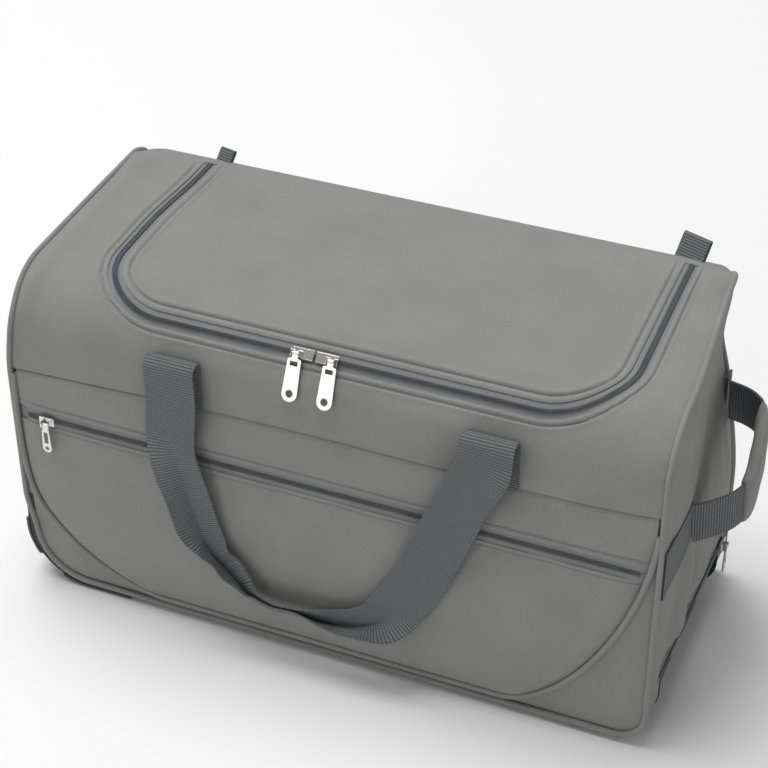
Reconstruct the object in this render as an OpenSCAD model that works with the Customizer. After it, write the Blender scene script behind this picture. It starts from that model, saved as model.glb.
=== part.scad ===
// Rolling duffel bag: a soft zipped bag on two corner wheels, with carry straps,
// a side grab handle and a two-stage pull-out handle under its floor.
// Millimetres. +X runs towards the pull-out handle, -Y is the front, +Z is up.

/* [Body] */
// Length of the fabric box between its two end panels
bag_l = 600; // [560:5:640]
// Depth of the fabric box from front to back
bag_d = 254; // [250:1:270]
// Height of the fabric box
bag_h = 335; // [325:1:345]
// Thickness of the padded fabric panels
panel_t = 2.4; // [2:0.1:3]
// Radius of the soft shoulder above the front
shoulder_r = 55; // [52:1:58]
// Radius of the edge between the top and the back
back_r = 14; // [12:1:20]
// Radius of the lower corners at the wheels
wheel_corner_r = 52; // [50:1:56]
// Radius of the lower corners at the feet
foot_corner_r = 28; // [26:1:30]
// Width of the piping
piping_w = 4; // [3:0.5:5]

/* [Lid] */
// Length of the zipped lid, measured between the middles of its zip's sides
lid_l = 480; // [460:5:490]
// Distance from the bag's middle to the lid's middle, towards the handle
lid_shift = 9; // [0:1:12]
// Corner radius of the lid's zip
lid_corner = 70; // [60:1:72]
// Distance from the middle of the bag forward to the lid's front zip
lid_front = 110; // [108:0.5:113]
// Width of the zip from fabric edge to fabric edge
zip_w = 22; // [20:1:24]

/* [Front pocket] */
// Height of the pocket's zip above the fabric's bottom
pocket_zip_h = 188; // [178:1:190]
// Height of the seam above the pocket, where the straps are rooted
seam_h = 240; // [238:1:246]
// Distance that the pocket stands out from the front panel
pocket_out = 6; // [5.5:0.1:6.2]

/* [Straps] */
// Width of the webbing
webbing_w = 47; // [40:1:50]
// Thickness of the webbing
webbing_t = 2.2; // [1.8:0.1:2.4]
// Distance between the middles of a carry strap's two legs
strap_pitch = 288; // [270:2:300]
// Distance between the middles of the legs where the loop's round end starts
strap_low_pitch = 204; // [180:2:230]
// Depth of a carry strap's loop below its fold
strap_drop = 238; // [226:2:246]
// Distance from the bag's middle to the straps' middle, towards the handle
strap_shift = 8; // [0:1:10]
// Distance that the grab handle stands out from the end
grab_out = 40; // [36:1:42]

/* [Wheels] */
// Radius of the wheels
wheel_r = 38; // [36:0.5:38]
// Width of the tyres
wheel_w = 22; // [20:1:22]
// Radius of the wheel axles
axle_r = 4; // [3.5:0.1:4.5]

/* [Pull-out handle] */
// Distance between the two tubes of each stage
tube_pitch = 144; // [130:2:146]

/* [Hidden] */

fabric = "#8b8c88";
dark_webbing = "#5d666b";
zip_grey = "#6b7075";
black = "#26272a";
plastic_grey = "#5a5a5e";
steel = "#c9ccd0";
lining = "#3b3d40";
steps = 14;                  // straight pieces in a rounded corner
big = 1000;

// Places of the main planes. The wheels stand out at the left end and the grab
// handle at the right, and the origin is in the middle of the two.
foot_h = 8;
wheel_out = 14;
sleeve_pad = 5;
mid_x = (wheel_out - grab_out - sleeve_pad) / 2;
left_x = mid_x - bag_l / 2;
right_x = mid_x + bag_l / 2;
front_y = -bag_d / 2;
back_y = bag_d / 2;
base_z = foot_h;
top_z = foot_h + bag_h;
seam_z = base_z + seam_h;

// Cross-section of the bag: the top falls a little from the back to the shoulder.
crown_drop = 10;
back_c = [back_y - back_r, top_z - back_r];
shoulder_c = [front_y + shoulder_r, top_z - crown_drop - shoulder_r];
between_c = back_c - shoulder_c;
crown_angle = atan2(between_c.y, between_c.x)
    + acos((shoulder_r - back_r) / norm(between_c));

// The lid turns about the top edge of the back, just above the zip's highest point.
hinge_y = back_c.x - 1;
hinge_gap = 0.3;
lid_x = mid_x + lid_shift;

// Zip: two tapes with half a coil each, and a gap between the halves.
tape_t = 1.2;
coil_t = 1.6;
coil_w = 7;
coil_gap = 1.5;
tape_top = -0.8;             // tape's upper face, below the fabric's outer face
zip_angle = asin((lid_front - (-shoulder_c.x)) / shoulder_r);
zip_slope = cos(zip_angle);  // plan distance over distance along the surface
corner_slope = 0.96;         // the same, averaged over the lid's corners
zip_z = shoulder_c.y + shoulder_r * zip_slope;

// Front pocket: its lower edge is a U of piping.
pocket_zip_z = base_z + pocket_zip_h;
pocket_y = front_y - pocket_out;
pocket_u_top = 228;
pocket_u_turn = 85;
pocket_u_low = piping_w + 0.3;
pocket_u_flat = 175;
pocket_u_side = 254;
pocket_band = 9;             // half the height of the pocket zip's band
pocket_tape_in = 0.8;        // pocket tape's face, behind the pocket's face

// Carry straps: a stub rises from the seam and folds over, and the loop hangs.
strap_x = mid_x + strap_shift;
stub_y = front_y - 0.2 - webbing_t / 2;
loop_y = front_y - 16;
fold_y = (stub_y + loop_y) / 2;
fold_r = (stub_y - loop_y) / 2;
fold_z = seam_z + 43;
strap_turn = 54;             // height of the loop's round end
fold_gap = 0.2;              // between the fold and the webbing that it joins

// Webbing tabs over the back ends of the lid's zip
tab = [24, 4, 14];           // its height is from the bag's top
tab_back = 5;                // behind the lid's hinge

// Grab handle on the right end.
grab_z = base_z + 175;
grab_y = 38;
grab_half = 75;
grab_tilt = 11;              // the grab handle rises to the back
sleeve_over = 3.5;           // the sleeve's edges beyond the webbing's
sleeve_angle = 35;           // where the sleeve starts round the arch

// Wheel housings.
housing_l = 95;
housing_top = 98;
housing_in = 86;
housing_proud = 5;
housing_end = 3;             // how much further the housing stands out at the end
housing_lip = 0.5;           // the housing's rim, in front of the fabric's face
guard_lip = 1.5;             // the guard's rim, in front of the fabric's face
guard_t = 2.4;
guard_z = [27, 67];          // the guard up the corner, between two heights
guard_low_x = left_x + 24;   // the guard below starts here
guard_low_z = 12;
housing_screw_x = [left_x + 30, left_x + 80];
housing_screw_z = 90;
axle_end = 4;                // the axle's end in the wheel well's outer wall
well_r = wheel_r + 4;
well_out = 118;
well_in = 90;
wheel_x = left_x - wheel_out + wheel_r;
wheel_y = (well_out + well_in) / 2;
hub_r = 28;
hub_web = 4;                 // half the thickness of the hub's web
hub_holes = 6;
tyre_crown = 5;
bush_r = 7;
bush_l = 8;
running_gap = 0.05;

// Pull-out handle: rectangular tubes, one inside the other.
board_t = 3;
board_z = base_z + panel_t + board_t;
tube_wall = 1.2;
slide_gap = 0.3;
outer_tube = [22, 16];
middle_tube = outer_tube - 2 * (tube_wall + slide_gap) * [1, 1];
inner_tube = middle_tube - 2 * (tube_wall + slide_gap) * [1, 1];
tube_z = board_z + 10.6;
tube_y = tube_pitch / 2;
tubes_start = left_x + 46;
cup_x = right_x - 64;
cup_wall = 2;
cup_half = 95;
cup_low = base_z + panel_t + 0.1;
cup_high = 52;
grip_leg = [20, 14];
leg_x = cup_x + 18;
bar_x = [right_x - 34, right_x - 12];
bar_half = 86;
bar_z = [cup_low + 5, cup_low + 25];
button_half = [14, 5.4];
button_x = [bar_x[1] - 3, bar_x[1] + 2];
rod_r = 1.5;
yoke_x = [bar_x[0] + 7.2, bar_x[0] + 10.2];
saddle_x = [left_x + 150, cup_x - 60];
saddle_top = tube_z + outer_tube.y / 2 + 3;
saddle_half = [14, 14];
saddle_base = [9, 24, 3];    // half length, half width and thickness of its flange
saddle_screw_y = 19;
foot_x = right_x - 85;
foot_y = 95;
foot_r = [13, 16];
foot_step = 3;
foot_zip_z = 62;
foot_zip_half = 104;
foot_zip_band = 8;
screw_r = 2;
screw_head = [4, 1.6];

// Sliders and pulls.
slider_x = [-7.5, 7.5];      // ends of a slider's plate, about its pull's pin
left_slider_x = [-5, 15];
right_slider_x = [-15, 5];
slider_half = 4.5;
slider_z = [1.1, 3.3];
pin_y = -1.5;
pin_z = 6.2;
pin_r = 0.9;
lug = [3.6, 0.7, 3, 1.8];     // its middle, half its width and length, its top above the pin
pull_l = 42;
pull_w = 14;
pull_window = [7, 7, 11];    // width, and its two ends below the pin
pull_hole_r = 3.3;
pull_t = 1.6;
pull_neck = [2.5, 4, 5.2];   // half its width, and its two ends below the pin
small_pull_l = 30;
small_pull_w = 9;
small_pull_window = [4, 8, 20];
small_pull_hole_r = 2;
pull_rest = shoulder_r + pull_t / 2 + 0.5;
pull_droop = 90 - asin(pull_rest / (shoulder_r + pin_z)) + pin_y;
left_pin_x = mid_x - 28.5;
right_pin_x = mid_x + 3.5;
pocket_slider_x = left_x + 31;
foot_slider_y = 92;

function arc(centre, r, from, to) =
    [for (i = [0:steps]) let (a = from + (to - from) * i / steps)
        centre + [r.x * cos(a), r.y * sin(a)]];
function round_arc(centre, r, from, to) = arc(centre, [r, r], from, to);

// Outline of the bag across its length, grown by g, as [y, z] points
function section(g) = concat(
    [[front_y - g, base_z - g], [back_y + g, base_z - g]],
    round_arc(back_c, back_r + g, 0, crown_angle),
    round_arc(shoulder_c, shoulder_r + g, crown_angle, 180));

// Outline of the bag from the front, grown by g, open above, as [x, z] points
function side(g) = concat(
    round_arc([left_x + wheel_corner_r, base_z + wheel_corner_r],
        wheel_corner_r + g, 180, 270),
    round_arc([right_x - foot_corner_r, base_z + foot_corner_r],
        foot_corner_r + g, 270, 360),
    [[right_x + g, top_z + 60], [left_x - g, top_z + 60]]);

// Outline of the lid in plan, grown by u along the surface, as [x, y] points
function lid_plan(u) =
    let (w = lid_l / 2 + u, r = [lid_corner + u, corner_slope * lid_corner + u * zip_slope],
        y = -lid_front - u * zip_slope)
    concat([[lid_x - w, hinge_y]],
        arc([lid_x - w + r.x, y + r.y], r, 180, 270),
        arc([lid_x + w - r.x, y + r.y], r, 270, 360),
        [[lid_x + w, hinge_y]]);

// Outline of the pocket from the front, grown by u, as [x, z] points
function pocket_u(u) =
    let (r = [pocket_u_side - pocket_u_flat + u, pocket_u_turn - pocket_u_low + u],
        lean = bag_l / 2 - piping_w)
    concat([[mid_x - lean - u, base_z + pocket_u_top]],
        arc([mid_x - pocket_u_flat, base_z + pocket_u_turn], r, 180, 270),
        arc([mid_x + pocket_u_flat, base_z + pocket_u_turn], r, 270, 360),
        [[mid_x + lean + u, base_z + pocket_u_top]]);

module box(low, high) {
    translate(low)
        cube(high - low);
}

// Extrudes a [y, z] outline along X
module along_x(from, to) {
    translate([from, 0, 0])
        rotate([90, 0, 90])
            linear_extrude(to - from)
                children();
}

// Extrudes an [x, z] outline along Y
module along_y(from, to) {
    translate([0, to, 0])
        rotate([90, 0, 0])
            linear_extrude(to - from)
                children();
}

module bar_along_y(x, z, r, from, to) {
    translate([x, from, z])
        rotate([-90, 0, 0])
            cylinder(r = r, h = to - from, $fn = 48);
}

module bar_along_x(y, z, r, from, to) {
    translate([from, y, z])
        rotate([0, 90, 0])
            cylinder(r = r, h = to - from, $fn = 48);
}

module front_and_back() {
    children();
    mirror([0, 1, 0])
        children();
}

// Layer of the bag's skin between two offsets from its outer face
module skin(inner, outer) {
    along_x(left_x, right_x)
        difference() {
            polygon(section(outer));
            polygon(section(inner));
        }
}

// Room in the corner of the bag that a wheel housing takes
module housing_room(y_sign) {
    low_y = y_sign > 0 ? housing_in : -bag_d / 2 + panel_t;
    box([left_x - big, low_y, 0],
        [left_x + housing_l, low_y + bag_d / 2 - panel_t - housing_in, housing_top]);
}

module both_housing_rooms() {
    housing_room(1);
    housing_room(-1);
}

module cup_room() {
    box([cup_x, -cup_half, cup_low], [right_x + big, cup_half, cup_high]);
}

module front_panel() {
    color(fabric)
        along_y(front_y, front_y + panel_t)
            intersection() {
                polygon(side(0));
                translate([-big, 0])
                    square([2 * big, seam_z]);
            }
}

module back_panel() {
    corner_z = back_c.y;
    color(fabric) {
        along_y(back_y - panel_t, back_y)
            intersection() {
                polygon(side(0));
                translate([-big, 0])
                    square([2 * big, corner_z]);
            }
        intersection() {
            skin(-panel_t, 0);
            box([left_x, hinge_y, corner_z], [right_x, back_y, top_z + 1]);
        }
    }
}

module top_panel() {
    color(fabric)
        difference() {
            intersection() {
                skin(-panel_t, 0);
                box([left_x, front_y, seam_z], [right_x, hinge_y, top_z + 1]);
            }
            translate([0, 0, seam_z])
                linear_extrude(bag_h)
                    polygon(lid_plan(zip_w / 2));
        }
}

module left_end_panel() {
    color(fabric)
        difference() {
            intersection() {
                along_x(left_x, left_x + panel_t)
                    polygon(section(-panel_t));
                box([left_x, -big, base_z + wheel_corner_r], [right_x, big, big]);
            }
            both_housing_rooms();
        }
}

module right_end_panel() {
    color(fabric)
        difference() {
            intersection() {
                along_x(right_x - panel_t, right_x)
                    polygon(section(-panel_t));
                box([left_x, -big, base_z + foot_corner_r], [right_x, big, big]);
            }
            cup_room();
        }
}

// The bottom turns up at both ends to meet the end panels.
module bottom_panel() {
    inside = bag_d / 2 - panel_t;
    color(fabric)
        difference() {
            along_y(-inside, inside)
                difference() {
                    polygon(side(0));
                    polygon(side(-panel_t));
                }
            box([left_x - 1, -big, base_z + wheel_corner_r], [mid_x, big, big]);
            box([mid_x, -big, base_z + foot_corner_r], [right_x + 1, big, big]);
            both_housing_rooms();
            cup_room();
            at_feet()
                cylinder(r = screw_r, h = big, center = true, $fn = 48);
        }
}

// Front and back loops of piping around the faces, joined over the top edges
module edge_piping() {
    color(fabric) {
        face_piping(front_y - 2, front_y, shoulder_c.y);
        face_piping(back_y, back_y + 2, back_c.y);
        for (x = [left_x, right_x - piping_w])
            intersection() {
                skin(0, 2);
                box([x, front_y, shoulder_c.y], [x + piping_w, back_y, top_z + 3]);
            }
    }
}

module face_piping(from, to, top) {
    along_y(from, to)
        difference() {
            polygon(side(0));
            polygon(side(-piping_w));
            translate([-big, top])
                square([2 * big, bag_h]);
        }
}

module pocket_piping() {
    color(fabric)
        along_y(pocket_y - 1.5, front_y)
            difference() {
                polygon(pocket_u(0));
                polygon(pocket_u(-piping_w));
            }
}

// Part of the pocket's front inside its piping, between two heights
module pocket_face(low, high) {
    intersection() {
        polygon(pocket_u(-piping_w));
        translate([-big, low])
            square([2 * big, high - low]);
    }
}

module pocket_panel() {
    color(fabric)
        along_y(pocket_y, pocket_y + panel_t)
            pocket_face(0, pocket_zip_z - pocket_band);
}

// The strip between the pocket's zip and the seam, which thins towards the seam
module front_yoke() {
    low = pocket_zip_z + pocket_band;
    color(fabric)
        intersection() {
            along_x(left_x, right_x)
                polygon([[front_y, low], [pocket_y, low],
                    [front_y - 0.8, seam_z], [front_y, seam_z]]);
            along_y(pocket_y - 1, front_y + 1)
                pocket_face(low, base_z + pocket_u_top);
        }
}

module pocket_zip_tape() {
    face_y = pocket_y + pocket_tape_in;
    split = 0.2;
    color(zip_grey)
        along_y(face_y, face_y + tape_t) {
            pocket_face(pocket_zip_z - pocket_band, pocket_zip_z - split);
            pocket_face(pocket_zip_z + split, pocket_zip_z + pocket_band);
        }
}

module pocket_zip_coil() {
    face_y = pocket_y + pocket_tape_in;
    color(zip_grey)
        along_y(face_y - coil_t, face_y)
            pocket_face(pocket_zip_z - coil_w / 2, pocket_zip_z + coil_w / 2);
}

// Ring of the top surface between two distances from the middle of the lid's zip
module zip_ring(inner, outer, low, high, end_y) {
    intersection() {
        skin(low, high);
        translate([0, 0, seam_z])
            linear_extrude(bag_h)
                difference() {
                    polygon(lid_plan(outer));
                    polygon(concat(lid_plan(inner),
                        [[lid_x + lid_l / 2 + inner, big], [lid_x - lid_l / 2 - inner, big]]));
                    translate([-big, end_y])
                        square([2 * big, big]);
                }
    }
}

module top_zip_tape() {
    color(zip_grey)
        zip_ring(coil_gap / 2, zip_w / 2, tape_top - tape_t, tape_top, hinge_y);
}

module top_zip_coil() {
    color(zip_grey)
        zip_ring(coil_gap / 2, coil_w / 2, tape_top, tape_top + coil_t, hinge_y);
}

module lid_zip_tape() {
    color(zip_grey)
        zip_ring(-zip_w / 2, -coil_gap / 2, tape_top - tape_t, tape_top,
            hinge_y - hinge_gap);
}

module lid_zip_coil() {
    color(zip_grey)
        zip_ring(-coil_w / 2, -coil_gap / 2, tape_top, tape_top + coil_t,
            hinge_y - hinge_gap);
}

module lid_panel() {
    color(fabric)
        intersection() {
            skin(-panel_t, 0);
            translate([0, 0, seam_z])
                linear_extrude(bag_h)
                    polygon(lid_plan(-zip_w / 2));
            box([-big, -big, 0], [big, hinge_y - hinge_gap, big]);
        }
}

// Folded webbing tabs over the ends of the lid's zip
module zip_end_tabs() {
    color(dark_webbing)
        difference() {
            for (x = [lid_x - lid_l / 2, lid_x + lid_l / 2])
                translate([x - tab.x / 2, hinge_y + tab_back, back_c.y])
                    cube([tab.x, tab.y, back_r + tab.z]);
            along_x(left_x, right_x)
                polygon(section(0));
        }
}

module foot_zip_tape() {
    color(zip_grey)
        box([right_x, -foot_zip_half, foot_zip_z - foot_zip_band],
            [right_x + tape_t, foot_zip_half, foot_zip_z + foot_zip_band]);
}

module foot_zip_coil() {
    color(zip_grey)
        box([right_x + tape_t, -foot_zip_half, foot_zip_z - coil_w / 2],
            [right_x + tape_t + coil_t, foot_zip_half, foot_zip_z + coil_w / 2]);
}

module strap_legs_x() {
    for (x = [strap_x - strap_pitch / 2, strap_x + strap_pitch / 2])
        translate([x, 0, 0])
            children();
}

// Webbing stubs that rise from the seam to each carry strap's fold
module strap_roots() {
    color(dark_webbing)
        front_and_back()
            strap_legs_x()
                box([-webbing_w / 2, stub_y - webbing_t / 2, seam_z + 0.5],
                    [webbing_w / 2, stub_y + webbing_t / 2, fold_z - fold_gap]);
}

module strap_folds() {
    strap_legs_x()
        along_x(-webbing_w / 2, webbing_w / 2)
            difference() {
                translate([fold_y, fold_z])
                    circle(r = fold_r + webbing_t / 2, $fn = 48);
                translate([fold_y, fold_z])
                    circle(r = fold_r - webbing_t / 2, $fn = 48);
                translate([fold_y - big / 2, fold_z - big - fold_gap / 2])
                    square(big);
            }
}

// Outline of a carry strap's loop, grown by u, open above, as [x, z] points
function loop_u(u) =
    let (r = [strap_low_pitch / 2 + u, strap_turn + u],
        centre = [strap_x, fold_z - strap_drop + strap_turn], top = fold_z - 2 * fold_gap)
    concat([[strap_x - strap_pitch / 2 - u, top]],
        arc(centre, r, 180, 270),
        arc(centre, r, 270, 360),
        [[strap_x + strap_pitch / 2 + u, top]]);

// A carry strap's hanging loop: two legs that lean in to a round end
module strap_loop() {
    along_y(loop_y - webbing_t / 2, loop_y + webbing_t / 2)
        difference() {
            polygon(loop_u(webbing_w / 2));
            polygon(loop_u(-webbing_w / 2));
        }
}

module front_strap() {
    color(dark_webbing)
        strap_loop();
}

module rear_strap() {
    color(dark_webbing)
        mirror([0, 1, 0])
            strap_loop();
}

module front_strap_folds() {
    color(dark_webbing)
        strap_folds();
}

module rear_strap_folds() {
    color(dark_webbing)
        mirror([0, 1, 0])
            strap_folds();
}

// Webbing sewn flat to the right end, in front of and behind the grab handle
module end_webbing() {
    low = grab_z - webbing_w / 2;
    rise = 2 * grab_half * sin(grab_tilt);
    color(dark_webbing)
        difference() {
            union() {
                box([right_x, front_y + piping_w, low],
                    [right_x + webbing_t, grab_y, low + webbing_w]);
                box([right_x, grab_y + webbing_w, low + rise],
                    [right_x + webbing_t, back_y - piping_w, low + rise + webbing_w]);
            }
            grab_tilted()
                box([right_x - 1, grab_y - grab_half, grab_z - webbing_w],
                    [right_x + big, grab_y + grab_half, grab_z + webbing_w]);
        }
}

// Tilts the grab handle about its front root
module grab_tilted() {
    root = [0, grab_y - grab_half, grab_z];
    translate(root)
        rotate([grab_tilt, 0, 0])
            translate(-root)
                children();
}

// Part of an arch that stands out from the right end, seen from above
module arch(from, to, low_angle) {
    centre = [right_x, grab_y];
    difference() {
        polygon(concat([centre], arc(centre, [grab_out + to, grab_half + to],
            low_angle - 90, 90 - low_angle)));
        polygon(arc(centre, [grab_out + from, grab_half + from], -90, 90));
    }
}

module grab_loop() {
    color(dark_webbing)
        grab_tilted()
            translate([0, 0, grab_z - webbing_w / 2])
                linear_extrude(webbing_w)
                    arch(-webbing_t, 0, 0);
}

module grab_sleeve() {
    half = webbing_w / 2 + sleeve_over;
    color(fabric)
        grab_tilted()
            difference() {
                translate([0, 0, grab_z - half])
                    linear_extrude(2 * half)
                        arch(-webbing_t - sleeve_pad, sleeve_pad, sleeve_angle);
                translate([0, 0, grab_z - webbing_w / 2])
                    linear_extrude(webbing_w)
                        arch(-webbing_t, 0, 0);
            }
}

module base_board() {
    color(lining)
        difference() {
            box([left_x + wheel_corner_r, front_y + panel_t, board_z - board_t],
                [cup_x, back_y - panel_t, board_z]);
            both_housing_rooms();
            screw_holes();
        }
}

module floor_cover() {
    half = 108;
    sheet_t = 2;
    color(lining)
        box([left_x + housing_l + 2, -half, saddle_top],
            [cup_x, half, saddle_top + sheet_t]);
}

// Outline of the wheel housing from the front, grown by g and open above
module housing_side(g) {
    hull() {
        polygon(side(housing_proud + g));
        translate([-housing_end, 0])
            polygon(side(housing_proud + g));
    }
}

// The part of the bag's side view that a housing covers
module housing_window() {
    translate([left_x - wheel_out, 0])
        square([housing_l + wheel_out, housing_top]);
}

// The wheel stands out of the slot around the housing's corner.
module wheel_housing() {
    difference() {
        union() {
            along_y(front_y + panel_t, -housing_in)
                intersection() {
                    housing_side(0);
                    housing_window();
                }
            along_y(front_y - housing_lip, front_y + panel_t)
                intersection() {
                    difference() {
                        housing_side(0);
                        polygon(side(running_gap));
                    }
                    housing_window();
                }
        }
        bar_along_y(wheel_x, wheel_r, well_r, -well_out, -well_in);
        box([-big, -well_out, -1], [wheel_x, -well_in, wheel_r]);
        bar_along_y(wheel_x, wheel_r, axle_r, -well_out - axle_end, 0);
        for (x = housing_screw_x)
            bar_along_y(x, housing_screw_z, screw_r, -well_in, 0);
    }
}

module front_wheel_housing() {
    color(black)
        wheel_housing();
}

module rear_wheel_housing() {
    color(black)
        mirror([0, 1, 0])
            wheel_housing();
}

// Hard strips on the rims of the housings: one up the corner, one below
module corner_guards() {
    color(plastic_grey)
        front_and_back()
            along_y(front_y - guard_lip, -well_out)
                intersection() {
                    difference() {
                        housing_side(guard_t);
                        housing_side(0);
                    }
                    union() {
                        translate([left_x - big, guard_z[0]])
                            square([big + wheel_corner_r / 2, guard_z[1] - guard_z[0]]);
                        translate([guard_low_x, 0])
                            square([left_x + housing_l - guard_low_x, guard_low_z]);
                    }
                }
}

module axles() {
    color(steel)
        front_and_back()
            bar_along_y(wheel_x, wheel_r, axle_r, -well_out - axle_end, -housing_in);
}

module wheel_tyre() {
    half = wheel_w / 2;
    translate([wheel_x, -wheel_y, wheel_r])
        rotate([-90, 0, 0])
            rotate_extrude($fn = 96)
                polygon(concat([[hub_r, -half], [wheel_r - tyre_crown, -half]],
                    arc([wheel_r - tyre_crown, 0], [tyre_crown, half], -90, 90),
                    [[hub_r, half]]));
}

module wheel_hub() {
    half = wheel_w / 2 + 1;
    rim = half - 2;
    boss_r = bush_r + 6;
    rim_r = hub_r - 4;
    web_r = [boss_r + 2, rim_r - 2];
    translate([wheel_x, -wheel_y, wheel_r])
        rotate([-90, 0, 0])
            difference() {
                rotate_extrude($fn = 96)
                    polygon([[bush_r, -half], [boss_r, -half], [web_r[0], -hub_web],
                        [web_r[1], -hub_web], [rim_r, -rim], [hub_r, -rim], [hub_r, rim],
                        [rim_r, rim], [web_r[1], hub_web], [web_r[0], hub_web],
                        [boss_r, half], [bush_r, half]]);
                for (i = [1:hub_holes])
                    rotate(i * 360 / hub_holes)
                        translate([(web_r[0] + web_r[1]) / 2, 0, -big / 2])
                            cylinder(r = 2.6, h = big, $fn = 32);
            }
}

module wheel_bushes() {
    half = wheel_w / 2 + 1;
    translate([wheel_x, -wheel_y, wheel_r])
        rotate([-90, 0, 0])
            for (z = [-half, half - bush_l])
                translate([0, 0, z])
                    difference() {
                        cylinder(r = bush_r, h = bush_l, $fn = 48);
                        translate([0, 0, -1])
                            cylinder(r = axle_r + running_gap, h = bush_l + 2, $fn = 48);
                    }
}

module front_tyre() {
    color(black)
        wheel_tyre();
}

module front_hub() {
    color(plastic_grey)
        wheel_hub();
}

module front_bushes() {
    color("#c8b27a")
        wheel_bushes();
}

module rear_tyre() {
    color(black)
        mirror([0, 1, 0])
            wheel_tyre();
}

module rear_hub() {
    color(plastic_grey)
        mirror([0, 1, 0])
            wheel_hub();
}

module rear_bushes() {
    color("#c8b27a")
        mirror([0, 1, 0])
            wheel_bushes();
}

module at_feet() {
    for (y = [-foot_y, foot_y])
        translate([foot_x, y, 0])
            children();
}

module feet() {
    color(black)
        at_feet()
            difference() {
                union() {
                    cylinder(r = foot_r[0], h = foot_step, $fn = 64);
                    translate([0, 0, foot_step])
                        cylinder(r1 = foot_r[0], r2 = foot_r[1], h = foot_h - foot_step,
                            $fn = 64);
                }
                translate([0, 0, -1])
                    cylinder(r = screw_head[0] + 0.5, h = 1 + foot_step, $fn = 48);
                cylinder(r = screw_r, h = big, $fn = 48);
            }
}

// Places of the screws that hold the tube saddles to the base board
module at_saddle_screws() {
    for (x = saddle_x, y = [-tube_y, tube_y], side = [-1, 1])
        translate([x, y + side * saddle_screw_y, 0])
            children();
}

module screw_holes() {
    at_saddle_screws()
        cylinder(r = screw_r, h = big, center = true, $fn = 48);
    at_feet()
        cylinder(r = screw_r, h = big, center = true, $fn = 48);
}

module screw(length) {
    cylinder(r = screw_r, h = length, $fn = 48);
    translate([0, 0, -screw_head[1]])
        cylinder(r = screw_head[0], h = screw_head[1], $fn = 48);
}

module screws() {
    color(steel) {
        at_saddle_screws()
            translate([0, 0, board_z + saddle_base.z])
                mirror([0, 0, 1])
                    screw(saddle_base.z + board_t);
        at_feet()
            translate([0, 0, foot_step])
                screw(board_z - foot_step);
        front_and_back()
            for (x = housing_screw_x)
                translate([x, -housing_in, housing_screw_z])
                    rotate([90, 0, 0])
                        screw(well_in - housing_in);
    }
}

// Pair of rectangular tubes along X
module tube_pair(size, from, to) {
    hollow = size - 2 * tube_wall * [1, 1];
    for (y = [-tube_y, tube_y])
        difference() {
            box([from, y - size.x / 2, tube_z - size.y / 2],
                [to, y + size.x / 2, tube_z + size.y / 2]);
            box([from - 1, y - hollow.x / 2, tube_z - hollow.y / 2],
                [to + 1, y + hollow.x / 2, tube_z + hollow.y / 2]);
        }
}

module outer_tubes() {
    color(steel)
        tube_pair(outer_tube, tubes_start, cup_x);
}

module middle_tubes() {
    color(steel)
        tube_pair(middle_tube, tubes_start + 8, cup_x + 6);
}

module inner_tubes() {
    color(steel)
        tube_pair(inner_tube, tubes_start + 16, leg_x);
}

module tube_saddles() {
    color(plastic_grey)
        for (x = saddle_x, y = [-tube_y, tube_y])
            difference() {
                translate([x, y, 0])
                    union() {
                        box([-saddle_half.x, -saddle_half.y, board_z],
                            [saddle_half.x, saddle_half.y, saddle_top]);
                        box([-saddle_base.x, -saddle_base.y, board_z],
                            [saddle_base.x, saddle_base.y, board_z + saddle_base.z]);
                    }
                box([x - big, y - outer_tube.x / 2, tube_z - outer_tube.y / 2],
                    [x + big, y + outer_tube.x / 2, tube_z + outer_tube.y / 2]);
                at_saddle_screws()
                    cylinder(r = screw_r, h = big, center = true, $fn = 48);
            }
}

// Recess for the grip, cut to the rounded lower corner of the right end
module handle_cup() {
    w = [cup_wall, cup_wall, cup_wall];
    hole = outer_tube - 2 * tube_wall * [1, 1];
    color(black)
        intersection() {
            difference() {
                box([cup_x, -cup_half, cup_low], [right_x + 1, cup_half, cup_high]);
                box([cup_x, -cup_half, cup_low] + w, [big, cup_half, cup_high] - w);
                for (y = [-tube_y, tube_y])
                    box([0, y - hole.x / 2, tube_z - hole.y / 2],
                        [big, y + hole.x / 2, tube_z + hole.y / 2]);
            }
            along_y(-big, big)
                polygon(side(1));
        }
}

// Grip bar on two legs, hollow for the release bar and the push rods
module handle_grip() {
    button_gap = 0.3;
    hole = button_half + button_gap * [1, 1];
    color(black)
        difference() {
            union() {
                box([bar_x[0], -bar_half, bar_z[0]], [bar_x[1], bar_half, bar_z[1]]);
                for (y = [-tube_y, tube_y])
                    box([leg_x, y - grip_leg.x / 2, tube_z - grip_leg.y / 2],
                        [bar_x[0], y + grip_leg.x / 2, tube_z + grip_leg.y / 2]);
            }
            box([bar_x[0] + 2.8, -tube_y - 5, tube_z - 3.5],
                [bar_x[0] + 10.6, tube_y + 5, tube_z + 3.5]);
            box([bar_x[1] - 7.5, -hole.x, tube_z - hole.y],
                [bar_x[1] + 1, hole.x, tube_z + hole.y]);
            bar_along_x(0, tube_z, 3, bar_x[0] + 5, bar_x[1]);
            for (y = [-tube_y, tube_y])
                bar_along_x(y, tube_z, rod_r + 0.7, 0, bar_x[0] + 5);
        }
}

module grip_button() {
    color("#9a1f22")
        box([button_x[0], -button_half[0], tube_z - button_half[1]],
            [button_x[1], button_half[0], tube_z + button_half[1]]);
}

module button_spring() {
    color(steel)
        difference() {
            bar_along_x(0, tube_z, 4.8, bar_x[1] - 7.4, button_x[0] - 0.1);
            bar_along_x(0, tube_z, 3.8, 0, big);
        }
}

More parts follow.
